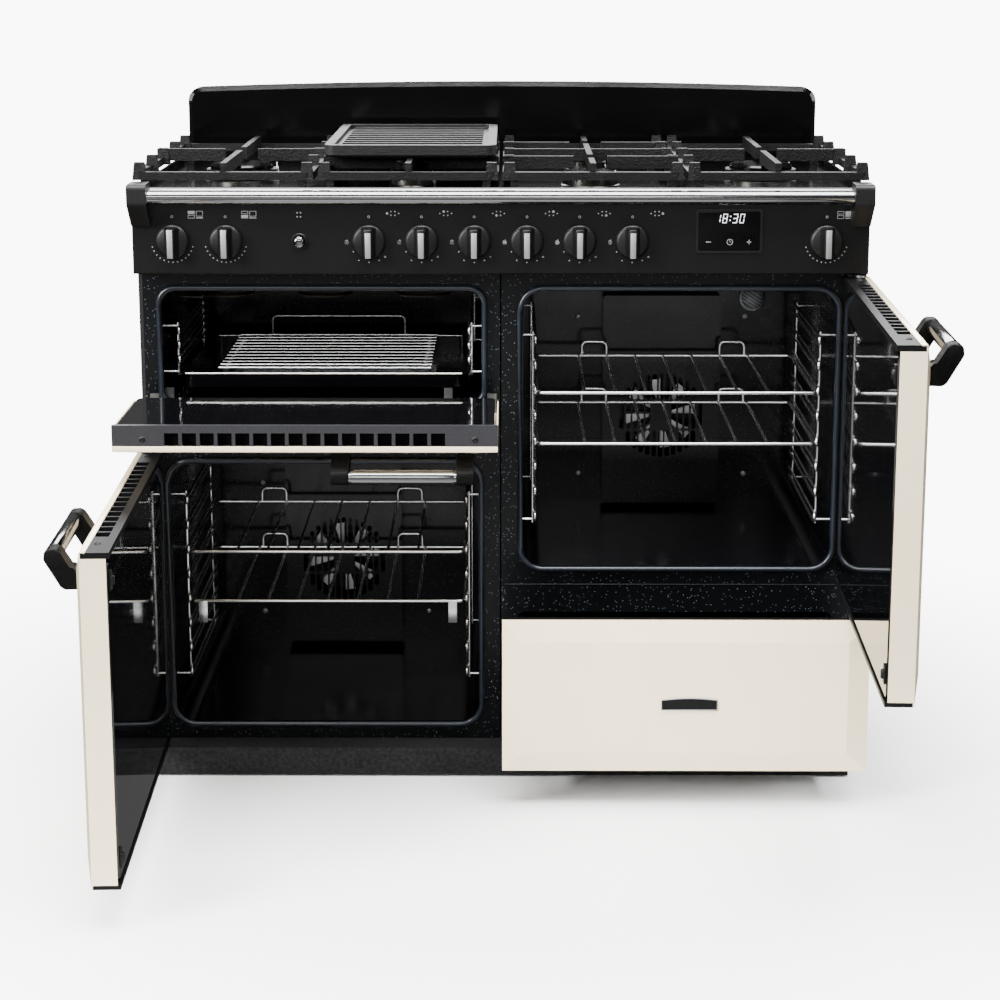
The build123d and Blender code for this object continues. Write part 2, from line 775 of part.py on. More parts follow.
def make_glass(x_low, x_high, z_low, z_high):
    """The inner pane, with eased corners."""
    with BuildPart() as glass:
        with BuildSketch(facing((x_low + x_high) / 2, -glass_stand_off, (z_low + z_high) / 2)):
            RectangleRounded(x_high - x_low - 2 * glass_margin, z_high - z_low, 2 * glass_margin)
        extrude(amount=glass_thickness)
    return glass.part


vent_count = 16
vent_pitch = 25
vent_length = 20
vent_depth = 22


def make_top_trim(x_low, x_high, z_high, pin_x):
    """A slotted vent strip along a door's top edge, with a leg behind the glass."""
    x = (x_low + x_high) / 2
    width = x_high - x_low
    depth = edge_stand_off - sheet - lip_stand_off
    with BuildPart() as trim:
        with BuildSketch(facing(x, -lip_stand_off, z_high - trim_height / 2)):
            Rectangle(width, trim_height)
        extrude(amount=depth)
        with BuildSketch(facing(x, -glass_back, z_high - trim_height - trim_leg / 2)):
            Rectangle(width - 4 * sheet, trim_leg)
        extrude(amount=trim_wall)
        with BuildSketch(Plane.XY.offset(z_high)):
            with Locations((x, -glass_back - trim_wall - 1 - vent_depth / 2)):
                with GridLocations(vent_pitch, 1, vent_count, 1):
                    Rectangle(vent_length, vent_depth)
        extrude(amount=-trim_height, mode=Mode.SUBTRACT)
        if pin_x:
            with BuildSketch(Plane.XY.offset(z_high)):
                with Locations((pin_x, -oven_hinge_stand_off)):
                    Circle(pin_diameter / 2 + pin_clearance)
            extrude(amount=-trim_height, mode=Mode.SUBTRACT)
    return trim.part


def make_foot_trim(x_low, x_high, z_low, pin_x):
    """A plain strip along an oven door's bottom edge, with a leg behind the glass."""
    x = (x_low + x_high) / 2
    width = x_high - x_low
    with BuildPart() as trim:
        with BuildSketch(facing(x, -lip_stand_off, z_low + foot_trim_height / 2)):
            Rectangle(width, foot_trim_height)
        extrude(amount=edge_stand_off - sheet - lip_stand_off)
        with BuildSketch(facing(x, -glass_back, z_low + foot_trim_height + trim_leg / 2)):
            Rectangle(width - 4 * sheet, trim_leg)
        extrude(amount=trim_wall)
        with BuildSketch(Plane.XY.offset(z_low)):
            with Locations((pin_x, -oven_hinge_stand_off)):
                Circle(pin_diameter / 2 + pin_clearance)
        extrude(amount=foot_trim_height, mode=Mode.SUBTRACT)
    return trim.part


def make_handle(x_low, z_high):
    """Two dog-leg ends on the door's field, with a round bar between them."""
    root = z_high - handle_root_top
    low = root - handle_root_height
    tip = z_high - 5
    bar_out = handle_reach - handle_bar_diameter / 2 + 1
    bar_z = tip - handle_bar_diameter / 2
    with BuildPart() as handle:
        for end_x in (x_low, x_low + handle_length - handle_end_width):
            with BuildSketch(Plane.YZ.offset(end_x)):
                with BuildLine():
                    Polyline(
                        (-field_stand_off, root),
                        (-field_stand_off - 6, root),
                        (-field_stand_off - handle_reach * 0.55, tip),
                        (-field_stand_off - handle_reach, tip),
                        (-field_stand_off - handle_reach, tip - 16),
                        (-field_stand_off - handle_reach * 0.45, low),
                        (-field_stand_off, low),
                        close=True,
                    )
                make_face()
                fillet(vertices().group_by(Axis.X)[0], 5)
                fillet(vertices().group_by(Axis.Y)[-1].sort_by(Axis.X)[-1], 5)
            extrude(amount=handle_end_width)
        with BuildSketch(Plane.YZ.offset(x_low + handle_end_width)):
            with Locations((-field_stand_off - bar_out, bar_z)):
                Circle(handle_bar_diameter / 2)
        extrude(amount=handle_length - 2 * handle_end_width)
    return handle.part


# Oven doors, built shut and then swung open about their pins
for side, name, low, high in ((-1, "left", fronts_bottom, left_door_top), (1, "right", right_door_bottom, fronts_top)):
    x_low = centre_gap if side > 0 else -half_width
    x_high = x_low + door_width
    pin_x = side * oven_hinge_x
    handle_x = centre_gap + handle_margin if side > 0 else -centre_gap - handle_margin - handle_length
    hinge = Axis((pin_x, -oven_hinge_stand_off, 0), (0, 0, 1))
    pieces = {
        "skin": make_skin(x_low, x_high, low, high, return_stand_off, trim_height, foot_trim_height),
        "glass": make_glass(x_low, x_high, low + foot_trim_height + 2, high - trim_height - 2),
        "handle": make_handle(handle_x, high),
    }
    with BuildPart() as trims:
        add(make_top_trim(x_low, x_high, high, pin_x))
        add(make_foot_trim(x_low, x_high, low, pin_x))
    pieces["trims"] = trims.part
    for piece, shut in pieces.items():
        keep(shut.rotate(hinge, side * oven_door_angle), f"{name}_door_{piece}")

# Grill door, built shut and then dropped about its arms
grill_low_x, grill_high_x = -half_width, -centre_gap
relief = 14
lug_half = 6.5
lug_wall = 5.5
lug_back = seal_clearance + grill_hinge_stand_off - grill_seal_rise
lug_xs = (grill_arms[0][0] + arm_thickness + 2, grill_arms[1][0] - 2 - lug_length)
grill_hinge = Axis((0, -grill_hinge_stand_off, grill_hinge_z), (1, 0, 0))
with BuildPart() as grill_skin:
    add(make_skin(grill_low_x, grill_high_x, grill_door_bottom, fronts_top, return_stand_off, trim_height, foot_trim_height))
    with BuildSketch(Plane.YZ.offset(grill_low_x)):
        with BuildLine():
            Polyline(
                (0, grill_hinge_z + 2 * relief),
                (-return_stand_off, grill_hinge_z + 2 * relief),
                (-return_stand_off - relief, grill_door_bottom + foot_trim_height + 2),
                (-return_stand_off - relief, grill_door_bottom - 1),
                (0, grill_door_bottom - 1),
                close=True,
            )
        make_face()
    extrude(amount=door_width, mode=Mode.SUBTRACT)
with BuildPart() as grill_trims:
    add(make_top_trim(grill_low_x, grill_high_x, fronts_top, None))
    with BuildSketch(Plane.XY.offset(grill_door_bottom)):
        with Locations(((lug_xs[0] + lug_xs[1] + lug_length) / 2, -lug_back - lug_wall / 2)):
            Rectangle(lug_xs[1] + lug_length - lug_xs[0], lug_wall)
    extrude(amount=foot_trim_height)
    for lug_x in lug_xs:
        with BuildSketch(Plane.YZ.offset(lug_x)):
            with Locations((-grill_hinge_stand_off, grill_hinge_z)):
                Circle(lug_half)
            with Locations((-lug_back - lug_wall / 2, (grill_door_bottom + grill_hinge_z) / 2)):
                Rectangle(lug_wall, grill_hinge_z - grill_door_bottom)
            with Locations((-grill_hinge_stand_off, grill_hinge_z)):
                Circle(grill_pin_diameter / 2 + pin_clearance, mode=Mode.SUBTRACT)
        extrude(amount=lug_length)
grill_handle_x = -centre_gap - handle_margin - handle_length
grill_pieces = {
    "grill_door_skin": grill_skin.part,
    "grill_door_trims": grill_trims.part,
    "grill_door_glass": make_glass(grill_low_x, grill_high_x, grill_hinge_z + arm_height + 6, fronts_top - trim_height - 2),
    "grill_door_handle": make_handle(grill_handle_x, fronts_top),
}
for name, shut in grill_pieces.items():
    keep(shut.rotate(grill_hinge, grill_door_angle), name)

# Storage drawer, left part open: a pressed front, and a box whose front wall carries it
drawer_move = Location((0, -drawer_opening, 0))
drawer_skin = make_skin(
    centre_gap, half_width, fronts_bottom, drawer_top, drawer_back_stand_off, sheet, 0
)
keep(drawer_skin.moved(drawer_move), "drawer_front")
box_low = fronts_bottom + drawer_box_floor
with BuildPart() as drawer_box:
    with BuildSketch(Plane.XY.offset(box_low)):
        with Locations((column_centre, drawer_length / 2 - drawer_back_stand_off)):
            Rectangle(drawer_box_width, drawer_length)
    extrude(amount=drawer_box_height)
    with BuildSketch(Plane.XY.offset(box_low + drawer_wall)):
        with Locations((column_centre, drawer_length / 2 - drawer_back_stand_off)):
            Rectangle(drawer_box_width - 2 * drawer_wall, drawer_length - 2 * drawer_wall)
    extrude(amount=drawer_box_height, mode=Mode.SUBTRACT)
    with BuildSketch(facing((centre_gap + half_width) / 2, -drawer_back_stand_off, (fronts_bottom + drawer_top) / 2)):
        Rectangle(door_width - 4 * sheet, drawer_height - 4 * sheet)
    extrude(amount=-drawer_wall)
    with BuildSketch(Plane.XY.offset(drawer_top)):
        with Locations(((centre_gap + half_width) / 2, -(edge_stand_off - sheet + drawer_back_stand_off - drawer_wall) / 2)):
            Rectangle(door_width, edge_stand_off - sheet - drawer_back_stand_off + drawer_wall)
    extrude(amount=-sheet)
    with BuildSketch(facing((centre_gap + half_width) / 2, -drawer_back_stand_off, drawer_top - 2 * sheet)):
        Rectangle(door_width - 4 * sheet, 2 * sheet)
    extrude(amount=-drawer_wall)
keep(drawer_box.part.moved(drawer_move), "drawer_box")

# Hob: a shallow enamel tray with burner holes
burners = [
    (-1.5, 0.5, wok_burner),
    (-0.5, 0.25, small_burner),
    (-0.5, 0.75, large_burner),
    (0.5, 0.25, large_burner),
    (0.5, 0.75, small_burner),
    (1.5, 0.5, wok_burner),
]
support_pitch = support_width + support_gap
support_length = support_back - support_front
burner_places = [(n * support_pitch, support_front + share * support_length, r) for n, share, r in burners]
hob_middle = (hob_back - hob_overhang) / 2
hob_depth = hob_back + hob_overhang
with BuildPart() as hob_plate:
    with BuildSketch(Plane.XY.offset(panel_top)):
        with Locations((0, hob_middle)):
            RectangleRounded(overall_width, hob_depth, 10)
    extrude(amount=hob_rim)
    with BuildSketch(Plane.XY.offset(hob_surface)):
        with Locations((0, hob_middle)):
            RectangleRounded(overall_width - 4 * hob_wall, hob_depth - 4 * hob_wall, 10 - hob_wall)
    extrude(amount=hob_rim, mode=Mode.SUBTRACT)
    with BuildSketch(Plane.XY.offset(panel_top)):
        for x, y, radius in burner_places:
            with Locations((x, y)):
                Circle(burner_stem + fit_gap)
    extrude(amount=hob_rim, mode=Mode.SUBTRACT)
    chamfer(hob_plate.faces().sort_by(Axis.Z)[-1].outer_wire().edges(), 2)
keep(hob_plate.part, "hob_plate")

# Burner bodies with stems through the hob, and the loose caps on top
stem_drop = 30
with BuildPart() as burner_bodies:
    for x, y, radius in burner_places:
        with BuildSketch(Plane.XY.offset(hob_surface)):
            with Locations((x, y)):
                Circle(radius)
        extrude(amount=burner_height, taper=10)
        with BuildSketch(Plane.XY.offset(hob_surface)):
            with Locations((x, y)):
                Circle(burner_stem)
        extrude(amount=-stem_drop)
keep(burner_bodies.part, "burner_bodies")
with BuildPart() as burner_caps:
    for x, y, radius in burner_places:
        with BuildSketch(Plane.XY.offset(hob_surface + burner_height)):
            with Locations((x, y)):
                Circle(radius * 0.86)
        extrude(amount=cap_height)
    chamfer(burner_caps.faces().group_by(Axis.Z)[-1].edges(), cap_height / 3)
keep(burner_caps.part, "burner_caps")


def make_support(x, spots):
    """A cast pan support: a frame on four feet, raised side pads, and fingers that stop short of each burner."""
    bar_low = hob_surface + bar_lift
    half = support_width / 2
    middle = (support_front + support_back) / 2
    post_ys = [support_front + post_depth / 2 + n * (support_length - post_depth) / (post_rows - 1) for n in range(post_rows)]
    finger_low = bar_low + support_bar / 2
    leg_inset = 2 * hob_wall + support_bar
    finger_high = support_top - 1
    with BuildPart() as support:
        with BuildSketch(Plane.XY.offset(bar_low)):
            with Locations((x, middle)):
                RectangleRounded(support_width, support_length, support_bar)
                Rectangle(support_width - 2 * support_bar, support_length - 2 * support_bar, mode=Mode.SUBTRACT)
        extrude(amount=support_bar)
        with BuildSketch(Plane.XY.offset(finger_low)):
            stops = [support_front + support_bar / 2]
            for y in spots:
                stops += [y - burner_space, y + burner_space]
            stops.append(support_back - support_bar / 2)
            for start, end in zip(stops[::2], stops[1::2]):
                with Locations((x, (start + end) / 2)):
                    Rectangle(finger_width, end - start)
            for y in spots:
                with Locations(*[(x + sx * (half + burner_space) / 2, y) for sx in (-1, 1)]):
                    Rectangle(half - burner_space, finger_width)
            if len(spots) > 1:
                with Locations((x, middle)):
                    Rectangle(support_width - support_bar, finger_width)
        extrude(amount=finger_high - finger_low)
        with BuildSketch(Plane.XY.offset(bar_low)):
            with Locations(*[(x + sx * (half - post_width / 2), y) for sx in (-1, 1) for y in post_ys]):
                Rectangle(post_width, post_depth)
        extrude(amount=support_top - bar_low, taper=6)
        with BuildSketch(Plane.XY.offset(hob_surface + support_clearance)):
            with Locations(*[(x + sx * (half - leg_inset), y) for sx in (-1, 1) for y in (post_ys[0], post_ys[-1])]):
                Rectangle(support_bar, support_bar)
        extrude(amount=bar_lift)
    return support.part


for n, name in ((-1.5, "left"), (-0.5, "middle_left"), (0.5, "middle_right"), (1.5, "right")):
    x = n * support_pitch
    spots = sorted(y for bx, y, radius in burner_places if abs(bx - x) < 1)
    keep(make_support(x, spots), f"{name}_pan_support")

# Griddle: a cast plate with a rim, cross ridges and a drain channel along its front
griddle_x = -support_pitch / 2
griddle_width = support_width - 2 * griddle_margin
griddle_low = support_top + support_clearance
griddle_length = griddle_back - griddle_front
griddle_floor = griddle_low + griddle_height - griddle_recess
ridge_length = griddle_width - 2 * griddle_rim - 16
ridge_pitch = (griddle_length - griddle_channel_zone) / (griddle_ridges - 1)
ridge_start = griddle_back - griddle_rim - 14
with BuildPart() as griddle:
    with BuildSketch(Plane.XY.offset(griddle_low)):
        with Locations((griddle_x, (griddle_front + griddle_back) / 2)):
            RectangleRounded(griddle_width, griddle_length, 16)
    extrude(amount=griddle_height)
    with BuildSketch(Plane.XY.offset(griddle_floor)):
        with Locations((griddle_x, (griddle_front + griddle_back) / 2)):
            RectangleRounded(griddle_width - 2 * griddle_rim, griddle_length - 2 * griddle_rim, 8)
    extrude(amount=griddle_recess, mode=Mode.SUBTRACT)
    with BuildSketch(Plane.XY.offset(griddle_floor)):
        with Locations(*[(griddle_x, ridge_start - ridge_pitch * n) for n in range(griddle_ridges)]):
            Rectangle(ridge_length, 7)
    extrude(amount=griddle_recess / 2)
    with BuildSketch(Plane.XY.offset(griddle_floor)):
        with Locations((griddle_x, griddle_front + griddle_rim + 18)):
            Rectangle(ridge_length, 20)
    extrude(amount=-3, mode=Mode.SUBTRACT)
    chamfer(griddle.faces().group_by(Axis.Z)[0].edges(), 4)
keep(griddle.part, "griddle")

# Splashback: an arched plate with a rolled top edge
splash_half = splash_width / 2
splash_top = hob_height + splash_rise
with BuildPart() as splashback:
    with BuildSketch(facing(0, hob_back + splash_thickness, 0)) as splash_outline:
        with BuildLine():
            Polyline(
                (-splash_half, splash_top - splash_arch),
                (-splash_half, panel_top),
                (splash_half, panel_top),
                (splash_half, splash_top - splash_arch),
            )
            ThreePointArc(
                (splash_half, splash_top - splash_arch), (0, splash_top), (-splash_half, splash_top - splash_arch)
            )
        make_face()
        fillet(vertices().group_by(Axis.Y)[-1], splash_radius)
    extrude(amount=splash_thickness)
    front_edges = splashback.faces().sort_by(Axis.Y)[0].edges()
    chamfer(front_edges.filter_by(lambda edge: edge.center().Z > panel_top + 1), splash_lip)
    with BuildSketch(facing(0, hob_back + splash_thickness, 0)):
        add(splash_outline.sketch_local)
        offset(amount=-splash_lip, kind=Kind.INTERSECTION, mode=Mode.REPLACE)
    extrude(amount=splash_thickness - 2 * sheet, mode=Mode.SUBTRACT)
    with BuildSketch(Plane.XY.offset(panel_top)):
        with Locations((0, (hob_back + splash_thickness + carcass_depth) / 2)):
            Rectangle(splash_width, carcass_depth - hob_back - splash_thickness)
    extrude(amount=sheet)
keep(splashback.part, "splashback")

# Control panel: a folded box, open at the back, bored for the spindles, the button and the clock
gas_knob_xs = [knob_pitch * (n - 2.5) for n in range(6)]
knob_names = ["grill_knob", "left_oven_knob"] + [f"gas_knob_{n + 1}" for n in range(6)] + ["right_oven_knob"]
knob_xs = [grill_knob_x, left_oven_knob_x] + gas_knob_xs + [right_oven_knob_x]
panel_middle = (panel_top + panel_bottom) / 2
clock_z = panel_top - clock_drop
stem_diameter = 10
with BuildPart() as control_panel:
    with BuildSketch(facing(0, side_front, panel_middle)):
        Rectangle(overall_width, panel_height)
    extrude(amount=panel_stand_off + side_front)
    with BuildSketch(Plane.XY.offset(panel_bottom)):
        with Locations((0, (side_front + frame_flange) / 2)):
            Rectangle(overall_width - 4 * fold, frame_flange - side_front)
    extrude(amount=panel_wall)
    chamfer(control_panel.faces().sort_by(Axis.Y)[0].edges(), panel_wall)
    with BuildSketch(facing(0, side_front, panel_middle)):
        Rectangle(overall_width - 2 * panel_wall, panel_height - 2 * panel_wall)
    extrude(amount=panel_stand_off + side_front - panel_wall, mode=Mode.SUBTRACT)
    with BuildSketch(facing(0, -panel_stand_off + panel_wall, knob_z)):
        with Locations(*[(x, 0) for x in knob_xs]):
            Circle(spindle_diameter / 2 + pin_clearance)
        with Locations((button_x, 0)):
            Circle(stem_diameter / 2 + pin_clearance)
        with Locations((clock_x, clock_z - knob_z)):
            Rectangle(clock_width - 2 * clock_rim, clock_height - 2 * clock_rim)
    extrude(amount=panel_wall, mode=Mode.SUBTRACT)
keep(control_panel.part, "control_panel")

# Clock module: a raised bezel round a sunk window, on a body that fills the cut-out
clock_body = 22
clock_proud = 2
with BuildPart() as clock_module:
    with BuildSketch(facing(clock_x, -panel_stand_off, clock_z)):
        RectangleRounded(clock_width, clock_height, clock_rim)
    extrude(amount=clock_proud)
    with BuildSketch(facing(clock_x, -panel_stand_off, clock_z)):
        Rectangle(clock_width - 2 * clock_rim, clock_height - 2 * clock_rim)
    extrude(amount=-clock_body)
    with BuildSketch(facing(clock_x, -panel_stand_off - clock_proud + 1, clock_z)):
        RectangleRounded(clock_width - 1.5 * clock_rim, clock_height - 1.5 * clock_rim, clock_rim / 2)
    extrude(amount=1, mode=Mode.SUBTRACT)
keep(clock_module.part, "clock_module")

# Knobs: a domed skirt with a bar grip across it, on a spindle through the panel
knob_back = -panel_stand_off - fit_gap
for name, x in zip(knob_names, knob_xs):
    with BuildPart() as knob:
        with BuildSketch(facing(x, knob_back, knob_z)):
            Circle(knob_diameter / 2)
        extrude(amount=knob_skirt, taper=12)
        with BuildSketch(facing(x, knob_back - knob_skirt + 1, knob_z)):
            Rectangle(knob_grip_width, knob_grip_length)
            chamfer(vertices(), knob_grip_width / 4)
        extrude(amount=knob_grip_depth, taper=5)
        with BuildSketch(facing(x, knob_back, knob_z)):
            Circle(spindle_diameter / 2)
        extrude(amount=-spindle_length)
    keep(knob.part, name)

# Ignition button: a domed cap on a stem that runs in the panel
button_back = -panel_stand_off - button_travel - seal_clearance
with BuildPart() as ignition_button:
    with BuildSketch(facing(button_x, button_back, knob_z)):
        Circle(button_diameter / 2)
    extrude(amount=knob_skirt / 2)
    chamfer(ignition_button.faces().sort_by(Axis.Y)[0].edges(), 1)
    with BuildSketch(facing(button_x, button_back, knob_z)):
        Circle(stem_diameter / 2)
    extrude(amount=-spindle_length)
keep(ignition_button.part, "ignition_button")

# Gas rail behind the panel, with a tap for each gas knob and a feed pipe to the inlet at the back
tap_radius = 12
tap_front = knob_back + spindle_length + fit_gap
rail_y = 8
with BuildPart() as gas_manifold:
    with BuildLine() as pipe:
        FilletPolyline(
            (gas_knob_xs[0] - 2 * tap_radius, rail_y, knob_z),
            (inlet_x, rail_y, knob_z),
            (inlet_x, carcass_depth, knob_z),
            radius=2 * pipe_diameter,
        )
    with BuildSketch(Plane(pipe.line @ 0, z_dir=pipe.line % 0)):
        Circle(pipe_diameter / 2)
    sweep(path=pipe.line)
    with BuildSketch(facing(inlet_x, carcass_depth + inlet_length, knob_z)):
        Circle(inlet_diameter / 2)
    extrude(amount=inlet_length)
    with BuildSketch(facing(0, rail_y, knob_z)):
        with Locations(*[(x, 0) for x in gas_knob_xs]):
            RegularPolygon(tap_radius, 6)
    extrude(amount=rail_y - tap_front)
keep(gas_manifold.part, "gas_manifold")

# Handrail: a bright tube between two brackets that stand on the panel's ends
rail_plane_y = -panel_stand_off - rail_stand_off
rail_z = panel_top + rail_lift
rail_half = half_width - bracket_width
with BuildPart() as handrail:
    with BuildSketch(Plane.YZ.offset(-rail_half)):
        with Locations((rail_plane_y, rail_z)):
            Circle(rail_diameter / 2)
            Circle(rail_diameter / 2 - rail_wall, mode=Mode.SUBTRACT)
    extrude(amount=2 * rail_half)
keep(handrail.part, "handrail")
with BuildPart() as handrail_brackets:
    with BuildSketch(Plane.YZ.offset(rail_half)):
        with BuildLine():
            Polyline(
                (-panel_stand_off, panel_top - bracket_drop),
                (-panel_stand_off - 6, panel_top - bracket_drop),
                (-panel_stand_off - bracket_reach, rail_z - rail_diameter / 2),
                (-panel_stand_off - bracket_reach, panel_top + bracket_top),
                (-panel_stand_off, panel_top + bracket_top),
                close=True,
            )
        make_face()
        fillet(vertices().sort_by(Axis.X)[:2], 8)
    extrude(amount=bracket_width)
    chamfer(handrail_brackets.faces().sort_by(Axis.X)[-1].edges(), 2)
    mirror(about=Plane.YZ)
keep(handrail_brackets.part, "handrail_brackets")
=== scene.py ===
import bpy, bmesh, json, math
from mathutils import Matrix, Vector


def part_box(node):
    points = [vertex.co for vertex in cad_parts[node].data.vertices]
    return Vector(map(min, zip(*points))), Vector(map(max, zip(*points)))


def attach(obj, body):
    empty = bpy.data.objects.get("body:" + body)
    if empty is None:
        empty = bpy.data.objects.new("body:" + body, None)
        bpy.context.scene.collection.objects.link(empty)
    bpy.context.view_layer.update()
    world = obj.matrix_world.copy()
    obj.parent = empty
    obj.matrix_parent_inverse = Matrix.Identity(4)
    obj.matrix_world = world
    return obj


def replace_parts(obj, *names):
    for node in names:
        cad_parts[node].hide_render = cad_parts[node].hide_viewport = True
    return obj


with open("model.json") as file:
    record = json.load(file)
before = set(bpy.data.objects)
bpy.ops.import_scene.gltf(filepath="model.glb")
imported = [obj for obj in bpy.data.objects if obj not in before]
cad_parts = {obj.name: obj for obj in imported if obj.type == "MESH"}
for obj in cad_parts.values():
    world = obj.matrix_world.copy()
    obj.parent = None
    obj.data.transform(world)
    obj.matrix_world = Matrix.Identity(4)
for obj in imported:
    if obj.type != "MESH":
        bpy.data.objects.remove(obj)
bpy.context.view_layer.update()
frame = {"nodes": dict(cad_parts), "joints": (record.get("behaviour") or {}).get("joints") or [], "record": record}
nodes = frame["nodes"]


def paint(red, green, blue):  # a screen colour, 0 to 255, as the shader wants it
    shares = [c / 255 for c in (red, green, blue)]
    return tuple(c / 12.92 if c < 0.0404 else ((c + 0.055) / 1.055) ** 2.4 for c in shares) + (1,)


def grey(shade):
    return paint(shade, shade, shade)


def toned(colour, share):  # the same colour, darker or lighter
    return tuple(c * share for c in colour[:3]) + (1,)


class Wire:  # a socket that takes part in sums
    def __init__(self, finish, socket):
        self.finish, self.socket = finish, socket

    def sum(self, operation, first, second):
        return self.finish.node("Math", {"operation": operation}, {0: first, 1: second})

    def __add__(self, other):
        return self.sum("ADD", self, other)

    def __radd__(self, other):
        return self.sum("ADD", other, self)

    def __sub__(self, other):
        return self.sum("SUBTRACT", self, other)

    def __rsub__(self, other):
        return self.sum("SUBTRACT", other, self)

    def __mul__(self, other):
        return self.sum("MULTIPLY", self, other)

    def __rmul__(self, other):
        return self.sum("MULTIPLY", other, self)

    def __gt__(self, other):
        return self.sum("GREATER_THAN", self, other)

    def __lt__(self, other):
        return self.sum("LESS_THAN", self, other)


shaderSockets = dict(baseColor="Base Color", metallic="Metallic", roughness="Roughness", ior="IOR",
                     specularLevel="Specular IOR Level", coatWeight="Coat Weight",
                     coatRoughness="Coat Roughness", emissionColor="Emission Color",
                     emissionStrength="Emission Strength", alpha="Alpha", normal="Normal")


class Finish:  # one material, wired up node by node
    def __init__(self, name):
        self.material = bpy.data.materials.new(name)
        self.material.use_nodes = True
        self.tree = self.material.node_tree
        self.tree.nodes.clear()

    def node(self, kind, settings, sockets, out=0):
        made = self.tree.nodes.new("ShaderNode" + kind)
        for key, value in settings.items():
            if key == "stops":
                ramp = made.color_ramp.elements
                while len(ramp) < len(value):
                    ramp.new(1)
                for stop, (place, shade) in zip(ramp, value):
                    stop.position, stop.color = place, (shade, shade, shade, 1)
            else:
                setattr(made, key, value)
        for key, value in sockets.items():
            if isinstance(value, Wire):
                self.tree.links.new(value.socket, made.inputs[key])
            else:
                made.inputs[key].default_value = value
        return Wire(self, made.outputs[out])

    def where(self, stretch=(1, 1, 1)):  # the piece's own coordinates, in metres
        place = self.node("TexCoord", {}, {}, "Object")
        if stretch == (1, 1, 1):
            return place
        return self.node("Mapping", {}, {"Vector": place, "Scale": stretch})

    def noise(self, scale, detail=3, stretch=(1, 1, 1)):
        return self.node("TexNoise", {}, {"Vector": self.where(stretch), "Scale": scale, "Detail": detail})

    def cells(self, scale, out="Distance"):
        return self.node("TexVoronoi", {}, {"Vector": self.where(), "Scale": scale}, out)

    def ramp(self, value, *stops):
        return self.node("ValToRGB", {"stops": stops}, {0: value})

    def blend(self, factor, first, second):
        return self.node("Mix", {"data_type": "RGBA"}, {0: factor, 6: first, 7: second}, 2)

    def dent(self, height, strength, depth):  # height to a surface normal
        return self.node("Bump", {}, {"Height": height, "Strength": strength, "Distance": depth})

    def shine(self, **values):  # closes the material with one shader
        shader = self.node("BsdfPrincipled", {}, {shaderSockets[key]: v for key, v in values.items()})
        out = self.tree.nodes.new("ShaderNodeOutputMaterial")
        self.tree.links.new(shader.socket, out.inputs["Surface"])
        return self.material


def ivoryEnamel():
    f = Finish("ivoryEnamel")
    drift, peel = f.noise(7, 4), f.noise(420, 2)
    colour = f.blend(drift * 0.8, paint(235, 218, 186), paint(228, 209, 174))
    return f.shine(baseColor=colour, roughness=0.13 + f.noise(55) * 0.1, coatWeight=0.35,
                   coatRoughness=0.06, normal=f.dent(peel, 0.06, 0.0004))


speckle = dict(scale=300, size=0.25)


def speckledEnamel(name, ground, fleck, share, rough, gloss):
    f = Finish(name)
    spot, luck = f.cells(speckle["scale"]), f.cells(speckle["scale"], "Color")
    flecks = (spot < luck * speckle["size"]) * (luck > 1 - share)  # some cells, each of its own size
    cloud = f.noise(11, 4)
    colour = f.blend(flecks, f.blend(cloud, ground, toned(ground, 1.5)), fleck)
    return f.shine(baseColor=colour, roughness=rough + cloud * 0.12, specularLevel=gloss,
                   normal=f.dent(f.noise(240, 2), 0.08, 0.0006))


def satinBlack(name, ground, lift, grain, rough, depth, gloss):
    f = Finish(name)
    pits = f.noise(grain)
    mottle = f.ramp(f.noise(grain * 0.4, 2) * 0.8 + f.noise(14, 4) * 0.2, (0.35, 0), (0.65, 1))
    return f.shine(baseColor=f.blend(mottle, ground, lift), roughness=rough + pits * 0.15,
                   specularLevel=gloss, normal=f.dent(pits, 0.35, depth))


def brightMetal(name, tint, rough, stretch=(1, 1, 1)):
    f = Finish(name)
    lines, smear = f.noise(260, 3, stretch), f.noise(16, 4)
    colour = f.blend(smear, tint, toned(tint, 0.82))
    return f.shine(baseColor=colour, metallic=1.0, roughness=rough + smear * 0.08 + lines * 0.05,
                   normal=f.dent(lines, 0.04, 0.0003))


# edge is the lighter colour: random tone on the lumps, and painted glints on some sand grains
def castIron(name, ground, edge, grain, depth, gloss):
    f = Finish(name)
    sand, luck, lumps = f.cells(grain), f.cells(grain, "Color"), f.noise(grain * 0.4, 4)
    # the lumps add random tone; some sand grains are painted lighter as painted glints
    colour = f.blend(lumps * 0.5 + (luck > 0.64) * 0.5, ground, edge)  # some sand grains catch the light
    return f.shine(baseColor=colour, roughness=0.36 + sand * 0.2, specularLevel=gloss,
                   normal=f.dent(sand * 0.6 + lumps * 0.4, 0.9, depth))


def darkGlass(name, ground, rough):
    f = Finish(name)
    haze, dots = f.noise(5, 5, (1, 1, 0.4)), f.cells(500)
    colour = f.blend(haze * 0.6 + (dots < 0.3) * 0.05, ground, toned(ground, 2.2))
    return f.shine(baseColor=colour, roughness=rough + haze * 0.05, ior=1.52, coatWeight=0.5,
                   coatRoughness=0.02, normal=f.dent(haze, 0.01, 0.001))


def sealRubber():
    f = Finish("sealRubber")
    bloom, grain = f.noise(24, 4), f.noise(600, 2)
    colour = f.blend(bloom, paint(9, 12, 16), paint(20, 27, 36))
    return f.shine(baseColor=colour, roughness=0.24 + bloom * 0.12, specularLevel=0.42,
                   normal=f.dent(grain, 0.1, 0.0003))


def stainedSheath():
    f = Finish("stainedSheath")
    heat, scale = f.noise(30, 4), f.noise(700, 2)
    colour = f.blend(heat, grey(20), paint(34, 30, 27))
    return f.shine(baseColor=colour, metallic=0.7, roughness=0.38 + heat * 0.2,
                   normal=f.dent(scale, 0.2, 0.0003))


